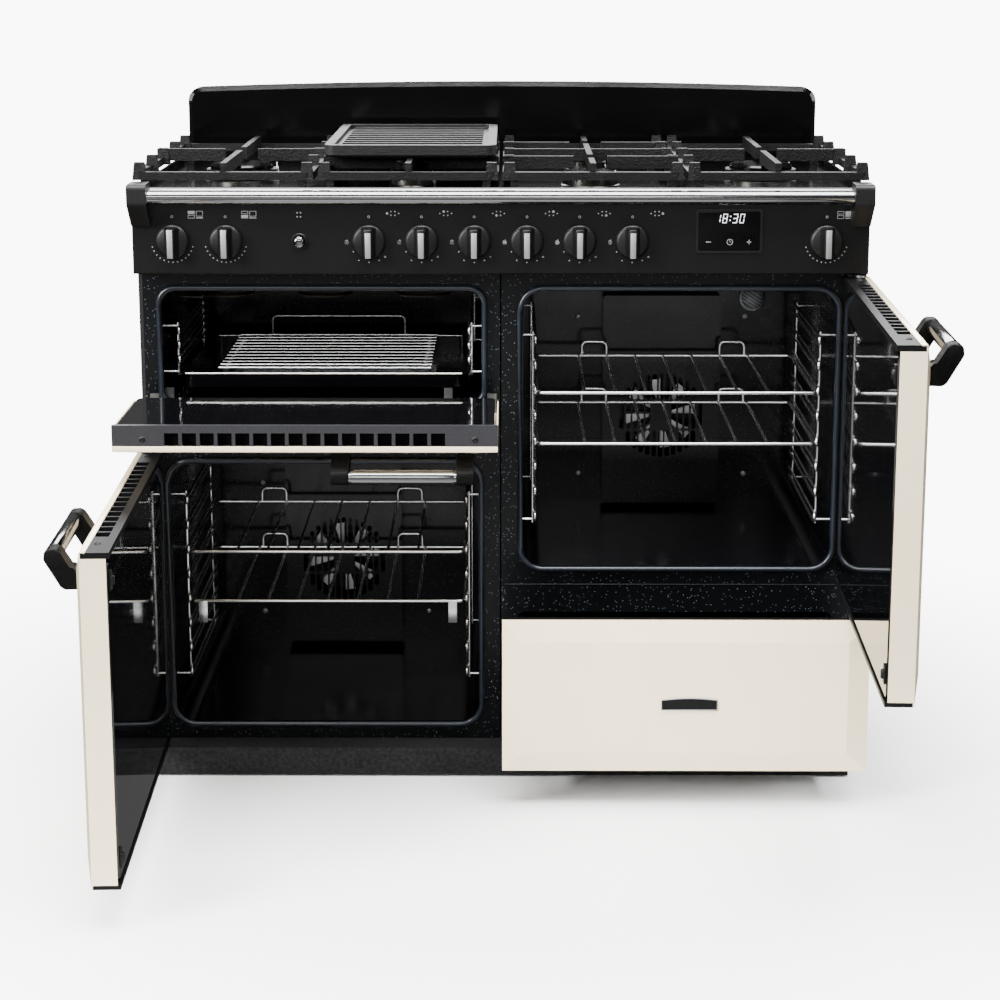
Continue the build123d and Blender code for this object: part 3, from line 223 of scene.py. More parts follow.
def printInk(name, colour):
    f = Finish(name)
    wear = f.noise(900, 2)
    return f.shine(baseColor=f.blend(wear * 0.3, colour, toned(colour, 0.7)), roughness=0.5 + wear * 0.1)


def litDigits():
    f = Finish("litDigits")
    tint = f.blend(f.noise(300, 2) * 0.2, paint(248, 250, 255), paint(200, 216, 240))
    return f.shine(baseColor=tint, emissionColor=tint, emissionStrength=1.1, roughness=0.4)


def frostedLens():
    f = Finish("frostedLens")
    rings = {"wave_type": "RINGS", "rings_direction": "Y"}
    ribs = f.node("TexWave", rings, {"Vector": f.where(), "Scale": 60})
    colour = f.blend(ribs, paint(60, 62, 66), paint(120, 124, 128))
    return f.shine(baseColor=colour, roughness=0.2 + ribs * 0.2, normal=f.dent(ribs, 0.2, 0.0005))


finishes = {
    "cream_enamel": ivoryEnamel(),
    "black_enamel": speckledEnamel("speckledEnamel", paint(6, 7, 8), paint(84, 90, 98), 0.25, 0.22, 0.14),
    "cavity": speckledEnamel("cavityEnamel", paint(2, 2, 3), paint(44, 48, 54), 0.25, 0.1, 0.22),
    "baffle": speckledEnamel("baffleEnamel", paint(6, 6, 7), paint(40, 43, 48), 0.25, 0.12, 0.24),
    "hob": speckledEnamel("hobEnamel", grey(2), paint(8, 9, 11), 0.4, 0.07, 0.25),
    "satin_black": satinBlack("satinPanel", grey(3), grey(10), 1000, 0.4, 0.0003, 0.14),
    "textured_black": satinBlack("texturedBlack", grey(2), grey(9), 800, 0.45, 0.0005, 0.08),
    "black_plastic": satinBlack("mouldedBlack", grey(5), grey(12), 900, 0.36, 0.0003, 0.25),
    "black_trim": satinBlack("ventTrim", paint(3, 3, 4), paint(8, 8, 9), 800, 0.36, 0.0002, 0.16),
    "front_trim": satinBlack("frontTrim", paint(20, 20, 23), paint(32, 32, 36), 800, 0.4, 0.0002, 0.4),
    "casing_paint": satinBlack("casingPaint", paint(14, 14, 15), paint(22, 22, 23), 700, 0.38, 0.0003, 0.35),
    "kickboard": satinBlack("kickboardPaint", paint(18, 17, 18), paint(36, 35, 37), 420, 0.5, 0.0006, 0.2),
    "display": satinBlack("displayGlass", paint(3, 3, 4), paint(5, 5, 6), 60, 0.2, 0.00002, 0.1),
    # painted shade: a near-black finish for sheets and strips placed where openings show only shade
    "shade": satinBlack("paintedShadeBlack", grey(2), grey(4), 400, 0.7, 0.0002, 0.05),
    "galvanised": brightMetal("zincPlate", paint(140, 142, 144), 0.3),
    "back_zinc": brightMetal("rolledZinc", paint(176, 178, 180), 0.4, (8, 1, 1)),
    "fan_plate": brightMetal("fanPlate", grey(196), 0.46),
    "wire_chrome": brightMetal("platedWire", grey(226), 0.18),
    "bright_chrome": brightMetal("brightChrome", paint(124, 124, 126), 0.06, (1, 8, 8)),
    "pointer": brightMetal("pointerInsert", grey(176), 0.42),
    "burner_alloy": brightMetal("burnerAlloy", paint(52, 51, 49), 0.22, (1, 1, 6)),
    "brass_pipe": brightMetal("drawnBrass", paint(176, 146, 92), 0.25, (1, 8, 8)),
    "cast_iron": castIron("castIron", grey(1), grey(15), 520, 0.0016, 0.12),
    "bare_casting": castIron("greyCasting", grey(2), grey(15), 520, 0.0008, 0.26),
    "door_glass": darkGlass("paneGlass", paint(4, 4, 5), 0.03),
    "frosted": frostedLens(),
    "seal_rubber": sealRubber(),
    "sheathed_element": stainedSheath(),
    "ceramic": printInk("glazedCeramic", paint(190, 186, 178)),
    "ink": printInk("whiteInk", grey(118)),
    "digits": litDigits(),
}
slots = {part["node"]: part["material_slot"] for part in frame["record"]["subparts"]}
ownFinish = dict(grill_cavity="cavity", left_oven_cavity="cavity", right_oven_cavity="cavity",
                 grill_pan="cavity", fan_baffles="baffle", hob_plate="hob", splashback="hob",
                 burner_caps="hob", grill_door_trims="front_trim", plinth="kickboard", casing="casing_paint")
for name, piece in nodes.items():
    piece.data.materials.clear()
    piece.data.materials.append(finishes[ownFinish.get(name, slots[name])])
print("finishes:", len(finishes))


def addToScene(name, data):
    made = bpy.data.objects.new(name, data)
    bpy.context.scene.collection.objects.link(made)
    return made


toLeft, toRight = (-1, 0, 0), (1, 0, 0)
toFront, toBack = (0, -1, 0), (0, 1, 0)
toFloor, toTop = (0, 0, -1), (0, 0, 1)


class Shape:  # faces gathered in millimetres, closed as one piece
    def __init__(self):
        self.bm = bmesh.new()

    def soften(self, edges, bevel, segments):
        bmesh.ops.bevel(self.bm, geom=list(edges), offset=bevel, segments=segments, profile=0.5,
                        affect="EDGES")

    def sleeve(self, low, high, shift=0):  # a band of faces between two rings of points
        count = len(low)
        high = high[shift:] + high[:shift]
        for n in range(count):
            ahead = (n + 1) % count
            self.bm.faces.new((low[n], low[ahead], high[ahead], high[n]))

    def box(self, low, high, bevel):
        made = bmesh.ops.create_cube(self.bm, size=1)["verts"]
        size, middle = Vector(high) - Vector(low), (Vector(high) + Vector(low)) / 2
        for v in made:
            v.co = Vector((v.co.x * size.x, v.co.y * size.y, v.co.z * size.z)) + middle
        self.soften({e for v in made for e in v.link_edges}, bevel, 2)

    def lathe(self, profile, centre, axis, sides, notch=1.0, hollow=False):  # (radius, distance) pairs
        along, centre = Vector(axis).normalized(), Vector(centre)
        across = along.orthogonal().normalized()
        over = along.cross(across)
        rings = []
        for radius, distance in profile:
            middle, ring = centre + along * distance, []
            for n in range(sides if radius else 1):
                turn = 2 * math.pi * n / sides
                spoke = (across * math.cos(turn) + over * math.sin(turn)) * radius
                share = 1.0 if n % 4 < 2 else notch  # a notch draws in every other pair of points
                ring.append(self.bm.verts.new(middle + spoke * share))
            rings.append(ring)
        for low, high in zip(rings, rings[1:] + (rings[:1] if hollow else [])):
            if len(high) > 1:
                self.sleeve(low, high)
            else:  # the profile ends in a point
                for n in range(sides):
                    self.bm.faces.new((low[n], low[(n + 1) % sides], high[0]))
        for ring in () if hollow else (rings[0], rings[-1]):
            if len(ring) > 1:
                self.bm.faces.new(ring)

    def tube(self, points, radius, sides=8, closed=False):
        points = [Vector(p) for p in points]
        turns = [2 * math.pi * k / sides for k in range(sides)]
        side, rings = None, []
        for n, point in enumerate(points):
            before = points[n - 1] if n or closed else point
            after = points[(n + 1) % len(points)] if n < len(points) - 1 or closed else point
            along = ((point - before).normalized() + (after - point).normalized()).normalized()
            side = along.orthogonal() if side is None else side - along * side.dot(along)
            side.normalize()
            over = along.cross(side)
            spokes = [(side * math.cos(t) + over * math.sin(t)) * radius for t in turns]
            rings.append([self.bm.verts.new(point + spoke) for spoke in spokes])
        for low, high in zip(rings, rings[1:]):
            self.sleeve(low, high)
        first, last = rings[0], rings[-1]
        if closed:  # the last ring lines up with the first
            self.sleeve(last, first, min(range(sides), key=lambda s: (last[0].co - first[s].co).length))
        else:
            self.bm.faces.new(first)
            self.bm.faces.new(last)

    def prism(self, outline, origin, across, up, depth, bevel=0.0):  # an outline pushed along across x up
        across, up = Vector(across), Vector(up)
        flat = [Vector(origin) + across * a + up * b for a, b in outline]
        low = [self.bm.verts.new(p) for p in flat]
        high = [self.bm.verts.new(p + across.cross(up) * depth) for p in flat]
        ends = [self.bm.faces.new(low), self.bm.faces.new(high)]
        self.sleeve(low, high)
        if bevel:
            self.soften({e for f in ends for e in f.edges}, bevel, 3)

    def facing(self, outline, origin, depth, bevel=0.0):  # a prism with its outline in the front's plane
        self.prism(outline, origin, toRight, toTop, depth, bevel)

    def profiled(self, section, origin, length, bevel):  # a prism along X, its section given as (y, z)
        self.prism(section, origin, toBack, toTop, length, bevel)

    def done(self, name, finish, slot, body="carcass", smooth=40):
        bmesh.ops.recalc_face_normals(self.bm, faces=self.bm.faces)
        bmesh.ops.scale(self.bm, vec=(0.001, 0.001, 0.001), verts=self.bm.verts)
        mesh = bpy.data.meshes.new(name)
        self.bm.to_mesh(mesh)
        self.bm.free()
        mesh.shade_smooth()
        mesh.set_sharp_from_angle(angle=math.radians(smooth))
        mesh.materials.append(finishes[finish])
        piece = addToScene(name, mesh)
        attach(piece, body)
        return piece


def rounded(points, radius, steps, closed=False):  # corners of a path turned into arcs
    points = [Vector(p) for p in points]
    path = []
    for n, corner in enumerate(points):
        if not closed and n in (0, len(points) - 1):
            path.append(corner)
            continue
        back = (points[n - 1] - corner).normalized()
        ahead = (points[(n + 1) % len(points)] - corner).normalized()
        half = back.angle(ahead) / 2
        reach = radius / math.tan(half)
        centre = corner + (back + ahead).normalized() * (radius / math.sin(half))
        start, end = corner + back * reach - centre, corner + ahead * reach - centre
        path += [centre + start.slerp(end, k / steps) * radius for k in range(steps + 1)]
    return path


def roundedRect(width, height, radius, steps):
    corners = [(a * width / 2, b * height / 2, 0) for a, b in ((-1, -1), (1, -1), (1, 1), (-1, 1))]
    return [(p.x, p.y) for p in rounded(corners, radius, steps, True)]


def cadMm(node):  # a node's box in millimetres
    low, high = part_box(node)
    return low * 1000, high * 1000


def cadMiddle(node):
    low, high = cadMm(node)
    return (low + high) / 2


def archPath(x, y, z, half, rise):  # an upright staple of wire
    return [(x - half, y, z), (x - half, y, z + rise), (x + half, y, z + rise), (x + half, y, z)]


# Wire shelves, ladders and trivet, in round wire
shelf = dict(wire=6, rod=5, rods=7, pitch=47, rodLift=0.5, corner=9, front=24, back=322,
             hoopRise=26, hoopWidth=46, hoopOffset=115, hoopCorner=8)
shelfStop = dict(inset=19, width=14, rise=1, drop=34, gap=2.6, thick=2, bevel=0.6)


def wireShelf(node, stops):
    low, high = cadMm(node)
    x, z = (low.x + high.x) / 2, high.z - shelf["hoopRise"]
    half, rod = (high.x - low.x - shelf["wire"]) / 2, shelf["rod"] / 2
    front, back = shelf["front"], shelf["back"]
    made = Shape()
    ring = [(x - half, front, z), (x + half, front, z), (x + half, back, z), (x - half, back, z)]
    made.tube(rounded(ring, shelf["corner"], 4, True), shelf["wire"] / 2, 10, True)
    for n in range(shelf["rods"]):
        rodX, rodZ = x + shelf["pitch"] * (n - (shelf["rods"] - 1) / 2), z + shelf["rodLift"]
        made.tube([(rodX, front, rodZ), (rodX, back, rodZ)], rod)
    for side in (-1, 1):
        hoopX = x + side * shelf["hoopOffset"]
        hoop = archPath(hoopX, back, z, shelf["hoopWidth"] / 2 - rod, shelf["hoopRise"] - rod)
        made.tube(rounded(hoop, shelf["hoopCorner"], 4), rod)
        if stops:  # plated stops that hang from the front wire
            stopX, wide = x + side * (half - shelfStop["inset"]), shelfStop["width"] / 2
            face = front - shelfStop["gap"]
            made.box((stopX - wide, face - shelfStop["thick"], z - shelfStop["drop"]),
                     (stopX + wide, face, z + shelfStop["rise"]), shelfStop["bevel"])
    piece = made.done("wire_" + node, "wire_chrome", "wire_chrome", node, 60)
    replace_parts(piece, node)


for node in ("left_upper_shelf", "left_lower_shelf", "right_upper_shelf", "right_lower_shelf"):
    wireShelf(node, node == "left_lower_shelf")

ladder = dict(wall=1.6, wire=5, start=30, end=325, stand=19, postInset=15, postLap=1.2, postEnd=5, bend=2.05)
ovenRungs = dict(first=61.5, pitch=40, levels=8, pair=13)
grillRungs = dict(first=15, pitch=23, levels=3, pair=11, panRim=1.5, panGap=0.3)


def sideLadders():
    made, wire = Shape(), ladder["wire"] / 2
    start, end = ladder["start"], ladder["end"]
    for node in ("grill_cavity", "left_oven_cavity", "right_oven_cavity"):
        low, high = cadMm(node)
        x, half = (low.x + high.x) / 2, (high.x - low.x) / 2 - ladder["wall"]
        grill = node == "grill_cavity"
        if grill:  # a runner under the pan's rim, and pairs above it
            rungs = grillRungs
            base = cadMm("grill_pan")[1].z - rungs["panRim"] - rungs["panGap"] - wire
        else:
            rungs, base = ovenRungs, low.z + ladder["wall"]
        lows = [base + rungs["first"] + rungs["pitch"] * n for n in range(rungs["levels"])]
        lowest, highest = base if grill else lows[0], lows[-1] + rungs["pair"]
        for side in (-1, 1):
            wallX, rungX = x + side * half, x + side * (half - ladder["stand"])
            postX = rungX + side * (ladder["wire"] - ladder["postLap"])
            if grill:
                made.tube([(rungX, start, base), (rungX, end, base)], wire)
            for lowZ in lows:  # each pair is one long wire loop
                highZ = lowZ + rungs["pair"]
                loop = [(rungX, end, lowZ), (rungX, start, lowZ), (rungX, start, highZ), (rungX, end, highZ)]
                made.tube(rounded(loop, rungs["pair"] / ladder["bend"], 5), wire)
            for postY in (start + ladder["postInset"], end - ladder["postInset"]):
                foot, head = lowest - ladder["postEnd"], highest + ladder["postEnd"]
                made.tube([(postX, postY, foot), (postX, postY, head)], wire)
                for footZ in (lowest, highest):
                    made.tube([(postX, postY, footZ), (wallX, postY, footZ)], wire)
    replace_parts(made.done("wire_ladders", "wire_chrome", "wire_chrome", smooth=60), "shelf_ladders")


sideLadders()

trivet = dict(wire=4, wires=12, front=34, back=310, endGap=2, railInset=12, footInset=20, rise=24,
              footGap=0.3, bailHalf=110, bailRise=32, bailCorner=8)


def grillTrivet():
    low, high = cadMm("grill_trivet")
    x, half, wire = (low.x + high.x) / 2, (high.x - low.x) / 2, trivet["wire"] / 2
    front, back, z = trivet["front"], trivet["back"], high.z - trivet["bailRise"] - wire
    reach = half - trivet["endGap"]
    made = Shape()
    for n in range(trivet["wires"]):
        y = front + (back - front) * n / (trivet["wires"] - 1)
        made.tube([(x - reach, y, z), (x + reach, y, z)], wire)
    for side in (-1, 1):
        railX = x + side * (half - trivet["railInset"])
        made.tube([(railX, front, z - wire), (railX, back, z - wire)], wire)
        for y in (front + trivet["footInset"], back - trivet["footInset"]):
            made.tube([(railX, y, z), (railX, y, z - trivet["rise"] + trivet["footGap"])], wire)
    bail = archPath(x, back, z, trivet["bailHalf"], trivet["bailRise"])
    made.tube(rounded(bail, trivet["bailCorner"], 5), wire)
    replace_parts(made.done("wire_trivet", "wire_chrome", "wire_chrome", "grill_trivet", 60), "grill_trivet")


grillTrivet()
print("wire work done")

# Doors are drawn shut, then turned to where the frame holds them
doors = {
    "left_door": dict(left=-546, right=-3, low=59, top=516, swing=-88, pin="Z", handle=-240,
                      screws=(-508, -43)),
    "right_door": dict(left=3, right=546, low=312, top=784, swing=88, pin="Z", handle=36, screws=(43, 508)),
    "grill_door": dict(left=-546, right=-3, top=784, swing=90, pin="X", handle=-240, screws=(-503, -35)),
}
doorPose = {}
for joint in frame["joints"]:
    name = joint["child"]
    if name in doors:
        pin = Matrix.Translation(Vector(joint["pos_m"]) * 1000)
        turn = Matrix.Rotation(math.radians(doors[name]["swing"]), 4, doors[name]["pin"])
        doorPose[name] = pin @ turn @ pin.inverted()


def hang(made, door, name, finish, slot):  # closes a piece that was drawn on the shut door
    bmesh.ops.transform(made.bm, matrix=doorPose[door], verts=made.bm.verts)
    return made.done(door + name, finish, slot, door)


handle = dict(length=204, endWidth=26, field=55, reach=42, rootTop=33, rootHeight=26, tipDrop=5, foot=6,
              shoulder=0.55, nose=14, heel=0.45, elbow=8, bevel=2.2, bar=22, barInset=1,
              barEnd=((-1.5, -1), (-1.5, 3), (-0.2, 3.4), (0, 4.2)))  # change of radius, distance


def doorHandle(door):
    x, top, wide = doors[door]["handle"], doors[door]["top"], handle["endWidth"]
    field, reach = -handle["field"], handle["reach"]
    root, tip, nose = top - handle["rootTop"], top - handle["tipDrop"], field - reach
    low = root - handle["rootHeight"]
    section = [(field, root, 0), (field - handle["foot"], root, 0),
               (field - reach * handle["shoulder"], tip, 0), (nose, tip, 0), (nose, tip - handle["nose"], 0),
               (field - reach * handle["heel"], low, 0), (field, low, 0)]
    section = [(p.x, p.y) for p in rounded(section, handle["elbow"], 4)]
    ends, bar = Shape(), Shape()
    for start in (x, x + handle["length"] - wide):
        ends.profiled(section, (start, 0, 0), wide, handle["bevel"])
    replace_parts(hang(ends, door, "_handle_ends", "textured_black", "black_plastic"), door + "_handle")
    radius, length = handle["bar"] / 2, handle["length"] - 2 * wide
    profile = [(radius + change, along) for change, along in handle["barEnd"]]
    profile += [(wideAt, length - along) for wideAt, along in reversed(profile)]
    bar.lathe(profile, (x + wide, nose + radius - handle["barInset"], tip - radius), toRight, 40)
    hang(bar, door, "_handle_bar", "bright_chrome", "bright_chrome")


for door in doors:
    doorHandle(door)
print("handles done")

# Knobs: a moulded skirt, a waisted grip and a bright pointer
panel = dict(front=-40, knobZ=839)
knob = dict(radius=25, gap=0.3, gripFoot=7, gripWidth=14, gripLength=47, corner=0.45, crown=8.4, lap=0.2,
            skirt=((-0.6, 0), (0, 0.8), (0, 3.2), (-0.5, 4.2), (-2.5, 6.4), (-5, 7.6)),
            spindle=((4, 0), (4, 19.8), (3.4, 20.3)))
gripRows = ((0, 4.5, -0.5), (3, 2, -1), (8, 0.3, -1.4), (15, -0.8, -1.8),  # rise, change of half width
            (18.2, -1.2, -2.4), (19.2, -2.4, -3.6))  # and change of half length
pointer = dict(width=8.1, foot=-21.5, gasHead=16, ovenHead=20.5, proud=0.9, sunk=0.4, bevel=0.35)
knobs = sorted((node for node in nodes if "_knob" in node), key=lambda node: cadMiddle(node).x)


def panelKnob(node):
    x, y, z = cadMiddle(node).x, panel["front"] - knob["gap"], cadMiddle(node).z
    body, strip = Shape(), Shape()
    skirt = [(knob["radius"] + change, rise) for change, rise in knob["skirt"]] + [(0, knob["crown"])]
    body.lathe(skirt, (x, y, z), toFront, 48)
    body.lathe(knob["spindle"], (x, y - knob["lap"], z), toBack, 20)
    rings = []
    for rise, widen, lengthen in gripRows:
        wide, tall = knob["gripWidth"] / 2 + widen, knob["gripLength"] / 2 + lengthen
        outline = roundedRect(2 * wide, 2 * tall, wide * knob["corner"], 4)
        rings.append([body.bm.verts.new((x + a, y - knob["gripFoot"] - rise, z + b)) for a, b in outline])
    for lower, upper in zip(rings, rings[1:]):
        body.sleeve(lower, upper)
    body.bm.faces.new(rings[-1])
    body.bm.faces.new(rings[0])
    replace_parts(body.done("moulded_" + node, "black_plastic", "black_plastic", node), node)
    face, half = y - knob["gripFoot"] - gripRows[-1][0], pointer["width"] / 2
    head = pointer["gasHead"] if node.startswith("gas") else pointer["ovenHead"]
    strip.box((x - half, face - pointer["proud"], z + pointer["foot"]),
              (x + half, face + pointer["sunk"], z + head), pointer["bevel"])
    strip.done("pointer_" + node, "pointer", "bright_chrome", node)


for node in knobs:
    panelKnob(node)
print("knobs done")

# Printed marks on the panel: dots, burner plans, flames and cooker plans
marks = dict(thick=0.18, bevel=0.03, dot=1.0, dotRim=0.7, dotRise=0.05, line=0.7, offRise=37, offOuter=1.9,
             offInner=1.2, sparkDot=1.2, sparkDots=((-2.4, 37), (2.4, 37), (-2.4, 43), (2.4, 43)))
gasMarks = dict(planX=36, planZ=42, litDot=1.8, fullFlame=(-33, 0, 8), lowFlame=(24, -22, 3.6),
                dots=((-23, -15), (-15, -28), (0, -31), (15, -28)),
                hobPlan=((-8.6, 0), (-3, 2.8), (-3, -2.8), (3, 2.8), (3, -2.8), (8.6, 0)))
flameOutline = ((-0.28, 0), (0.28, 0), (0.42, 0.3), (0.3, 0.6), (0.08, 1), (-0.02, 0.66), (-0.22, 0.8),
                (-0.42, 0.36))
ovenMarks = dict(ring=31, dots=13, start=195, sweep=150, planZ=40)
cookerPlan = dict(grill=(-11, 1, -1, 5.5), leftOven=(-11, -5.5, -1, -0.5), rightOven=(1, -2.5, 11, 5.5),
                  drawer=(1, -5.5, 11, -4))  # x and z of each cell's two corners
ovenPlans = dict(grill_knob=("grill", 35), left_oven_knob=("leftOven", 35), right_oven_knob=("rightOven", 26))


def panelPrints():
    made = Shape()
    front, z, thick, line = panel["front"], panel["knobZ"], marks["thick"], marks["line"]

    def dot(x, up, radius):
        profile = [(radius, 0), (radius, thick), (radius * marks["dotRim"], thick + marks["dotRise"])]
        made.lathe(profile, (x, front, z + up), toFront, 12)

    def bar(x, up, left, low, right, high):
        made.box((x + left, front - thick, z + up + low), (x + right, front, z + up + high), marks["bevel"])

    def flame(x, across, up, tall):
        outline = [(a * tall, (b - 0.5) * tall) for a, b in flameOutline]
        made.facing(outline, (x + across, front, z + up), -thick)

    def plan(x, up, lit):  # two columns of cells, with one cell filled
        for name, (left, low, right, high) in cookerPlan.items():
            if name == lit:
                bar(x, up, left, low, right, high)
                continue
            bar(x, up, left, low, right, low + line)
            bar(x, up, left, high - line, right, high)
            bar(x, up, left, low + line, left + line, high - line)
            bar(x, up, right - line, low + line, right, high - line)

    outer, inner = marks["offOuter"], marks["offInner"]
    off = [(outer, 0), (outer, thick), (inner, thick), (inner, 0)]
    gasKnobs = [node for node in knobs if node.startswith("gas")]
    for node in knobs:
        x = cadMiddle(node).x
        made.lathe(off, (x, front, z + marks["offRise"]), toFront, 16, hollow=True)
        if node in gasKnobs:
            for n, (across, up) in enumerate(gasMarks["hobPlan"]):
                lit = n == gasKnobs.index(node)
                dot(x + gasMarks["planX"] + across, gasMarks["planZ"] + up,
                    gasMarks["litDot"] if lit else marks["dot"])
            flame(x, *gasMarks["fullFlame"])
            flame(x, *gasMarks["lowFlame"])
            for across, down in gasMarks["dots"]:
                dot(x + across, down, marks["dot"])
            continue
        for n in range(ovenMarks["dots"]):
            turn = math.radians(ovenMarks["start"] + n * ovenMarks["sweep"] / (ovenMarks["dots"] - 1))
            dot(x + ovenMarks["ring"] * math.cos(turn), ovenMarks["ring"] * math.sin(turn), marks["dot"])
        lit, across = ovenPlans[node]
        plan(x + across, ovenMarks["planZ"], lit)
    for across, up in marks["sparkDots"]:
        dot(cadMiddle("ignition_button").x + across, up, marks["sparkDot"])
    made.done("panel_marks", "ink", "satin_black")


panelPrints()

button = dict(bezel=((9.3, 0), (9.3, 1.6), (9.9, 2.2), (11.4, 2.2), (12.6, 0.8), (12.6, 0)),
              dome=((8.5, 0), (8.5, 2.4), (7.6, 4.2), (5.4, 5.6), (2.8, 6.3), (0, 6.5)),
              stem=((5, 0), (5, 19.6), (4.4, 20)), length=20, lap=0.4)  # (radius, distance) pairs


def sparkButton():
    middle, back = cadMiddle("ignition_button"), cadMm("ignition_button")[1].y
    bezel, dome = Shape(), Shape()
    bezel.lathe(button["bezel"], (middle.x, panel["front"], middle.z), toFront, 36, hollow=True)
    bezel.done("button_bezel", "black_plastic", "black_plastic")
    foot = back - button["length"]
    dome.lathe(button["dome"], (middle.x, foot, middle.z), toFront, 32)
    dome.lathe(button["stem"], (middle.x, foot - button["lap"], middle.z), toBack, 20)
    piece = dome.done("button_dome", "bright_chrome", "bright_chrome", "ignition_button")
    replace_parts(piece, "ignition_button")


sparkButton()

clock = dict(x=338, z=855, width=91, height=58, corner=3, back=-41.0, thick=0.6, bevel=0.2, ink=0.2)
digits = dict(text="1830", z=874, shift=1, places=(-17.5, -7.6, 7.6, 17.5), height=13.5, width=6.6,
              stroke=1.0, slant=0.16, gap=0.7, clip=1.6, colons=(-3.4, 2.2), colonHalf=0.8, colonHeight=1.7)
segments = {"1": "bc", "8": "abcdefg", "3": "abgcd", "0": "abcdef"}
clockKeys = dict(z=839, shift=1, ring=((4.6, 0), (4.6, 0.2), (3.7, 0.2), (3.7, 0)), bevel=0.05,
                 bars=((-34, -0.6, -27, 0.6), (0.6, 0, 1.4, 3), (1, -0.4, 3.2, 0.4),
                       (26, -0.6, 33, 0.6), (28.9, -3.5, 30.1, 3.5)))


def clockFace():
    glass, figures, keys = Shape(), Shape(), Shape()
    x, face = clock["x"], clock["back"] - clock["thick"]
    outline = roundedRect(clock["width"], clock["height"], clock["corner"], 5)
    glass.facing(outline, (x, clock["back"], clock["z"]), clock["thick"], clock["bevel"])
    glass.done("clock_glass", "display", "door_glass")

    def segment(across, left, low, right, high):
        corners = ((left, low), (right, low), (right, high), (left, high))
        lean = [(x + digits["shift"] + across + a + digits["slant"] * b, b) for a, b in corners]
        figures.facing(lean, (0, face, digits["z"]), clock["ink"])

    side, head, stroke = digits["width"] / 2, digits["height"] / 2, digits["stroke"]
    near, far = digits["gap"], head - digits["clip"]
    shapes = {"a": (-side, head - stroke, side, head), "g": (-side, -stroke / 2, side, stroke / 2),
              "d": (-side, -head, side, stroke - head), "b": (side - stroke, near, side, far),
              "c": (side - stroke, -far, side, -near), "e": (-side, -far, stroke - side, -near),
              "f": (-side, near, stroke - side, far)}
    for figure, place in zip(digits["text"], digits["places"]):
        for letter in segments[figure]:
            segment(place, *shapes[letter])
    for low in digits["colons"]:
        segment(0, -digits["colonHalf"], low, digits["colonHalf"], low + digits["colonHeight"])
    figures.done("clock_digits", "digits", "door_glass")
    z = clockKeys["z"]
    keys.lathe(clockKeys["ring"], (x + clockKeys["shift"], face, z), toFront, 28, hollow=True)
    for left, low, right, high in clockKeys["bars"]:
        keys.box((x + left, face - clock["ink"], z + low), (x + right, face, z + high), clockKeys["bevel"])
    keys.done("clock_keys", "ink", "door_glass")


clockFace()
print("panel marks and clock done")

# Bright strip along the hob's front edge, its section given as (y, z)
hobTrim = dict(half=540, bevel=0.4, section=((-30, 907.5), (-31.4, 907.5), (-32.2, 909.1), (-32.2, 914.1),
                                             (-31.2, 915.7), (-30, 916.5)))
strip = Shape()
strip.profiled(hobTrim["section"], (-hobTrim["half"], 0, 0), 2 * hobTrim["half"], hobTrim["bevel"])
strip.done("hob_front_strip", "bright_chrome", "bright_chrome")

# Burners: a slotted crown and a collar, as shares of the cap's radius, and a ceramic spark pin
burner = dict(gap=6, drop=14, slots=30, notch=0.93, pinOffset=7, pinAcross=0.78, pinAlong=0.63,
              crown=((0.87, 8.5), (0.97, 9), (0.97, 13.2), (0.9, 14)),
              collar=((1.02, 0), (1.04, 1.2), (1.02, 2.4), (0.99, 3)),
              pin=((4, 0), (4, 4), (2.6, 5), (2.6, 12), (0.9, 12.6), (0.9, 19), (0, 19.4)))
burnerPlaces = ((-1.5, 0.5, 58), (-0.5, 0.25, 34), (-0.5, 0.75, 44),  # column, share of the depth, radius
                (0.5, 0.25, 44), (0.5, 0.75, 34), (1.5, 0.5, 58))


def burnerRings():
    crowns, pins = Shape(), Shape()
    low, high = cadMm("left_pan_support")
    pitch, base = high.x - low.x + burner["gap"], cadMm("burner_bodies")[1].z - burner["drop"]
    for column, share, radius in burnerPlaces:
        x, y, away = column * pitch, low.y + share * (high.y - low.y), radius + burner["pinOffset"]
        crown = [(radius * wide, rise) for wide, rise in burner["crown"]]
        collar = [(radius * wide, rise) for wide, rise in burner["collar"]]
        crowns.lathe(crown, (x, y, base), toTop, burner["slots"] * 4, burner["notch"])
        crowns.lathe(collar, (x, y, base), toTop, 48)
        place = (x + away * burner["pinAcross"], y + away * burner["pinAlong"], base)
        pins.lathe(burner["pin"], place, toTop, 18)
    crowns.done("burner_crowns", "burner_alloy", "burner_alloy")
    pins.done("spark_pins", "ceramic", "burner_alloy")


burnerRings()
print("hob trim and burners done")

# Door seals as soft round tube: middle, foot, head, width and corner of each
seal = dict(radius=4.4, y=-4.2,
            loops=((-270, 579, 768, 500, 30), (-270, 67, 500, 490, 40), (270, 320, 768, 490, 40)))


def doorSeals():
    made, radius = Shape(), seal["radius"]
    for x, low, high, width, corner in seal["loops"]:
        path = roundedRect(width - 2 * radius, high - low - 2 * radius, corner - radius, 10)
        made.tube([(x + a, seal["y"], (low + high) / 2 + b) for a, b in path], radius, 12, True)
    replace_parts(made.done("seal_tubes", "seal_rubber", "seal_rubber", smooth=60), "door_seals")


doorSeals()

screwRows = ((1, 0), (1, 0.5), (0.85, 1.2), (0.5, 1.6), (0.42, 1.1), (0, 1))  # share of the radius, rise


def screwHead(made, place, axis, radius=4.0):  # a domed head with a recess
    made.lathe([(radius * wide, rise) for wide, rise in screwRows], place, axis, 16)


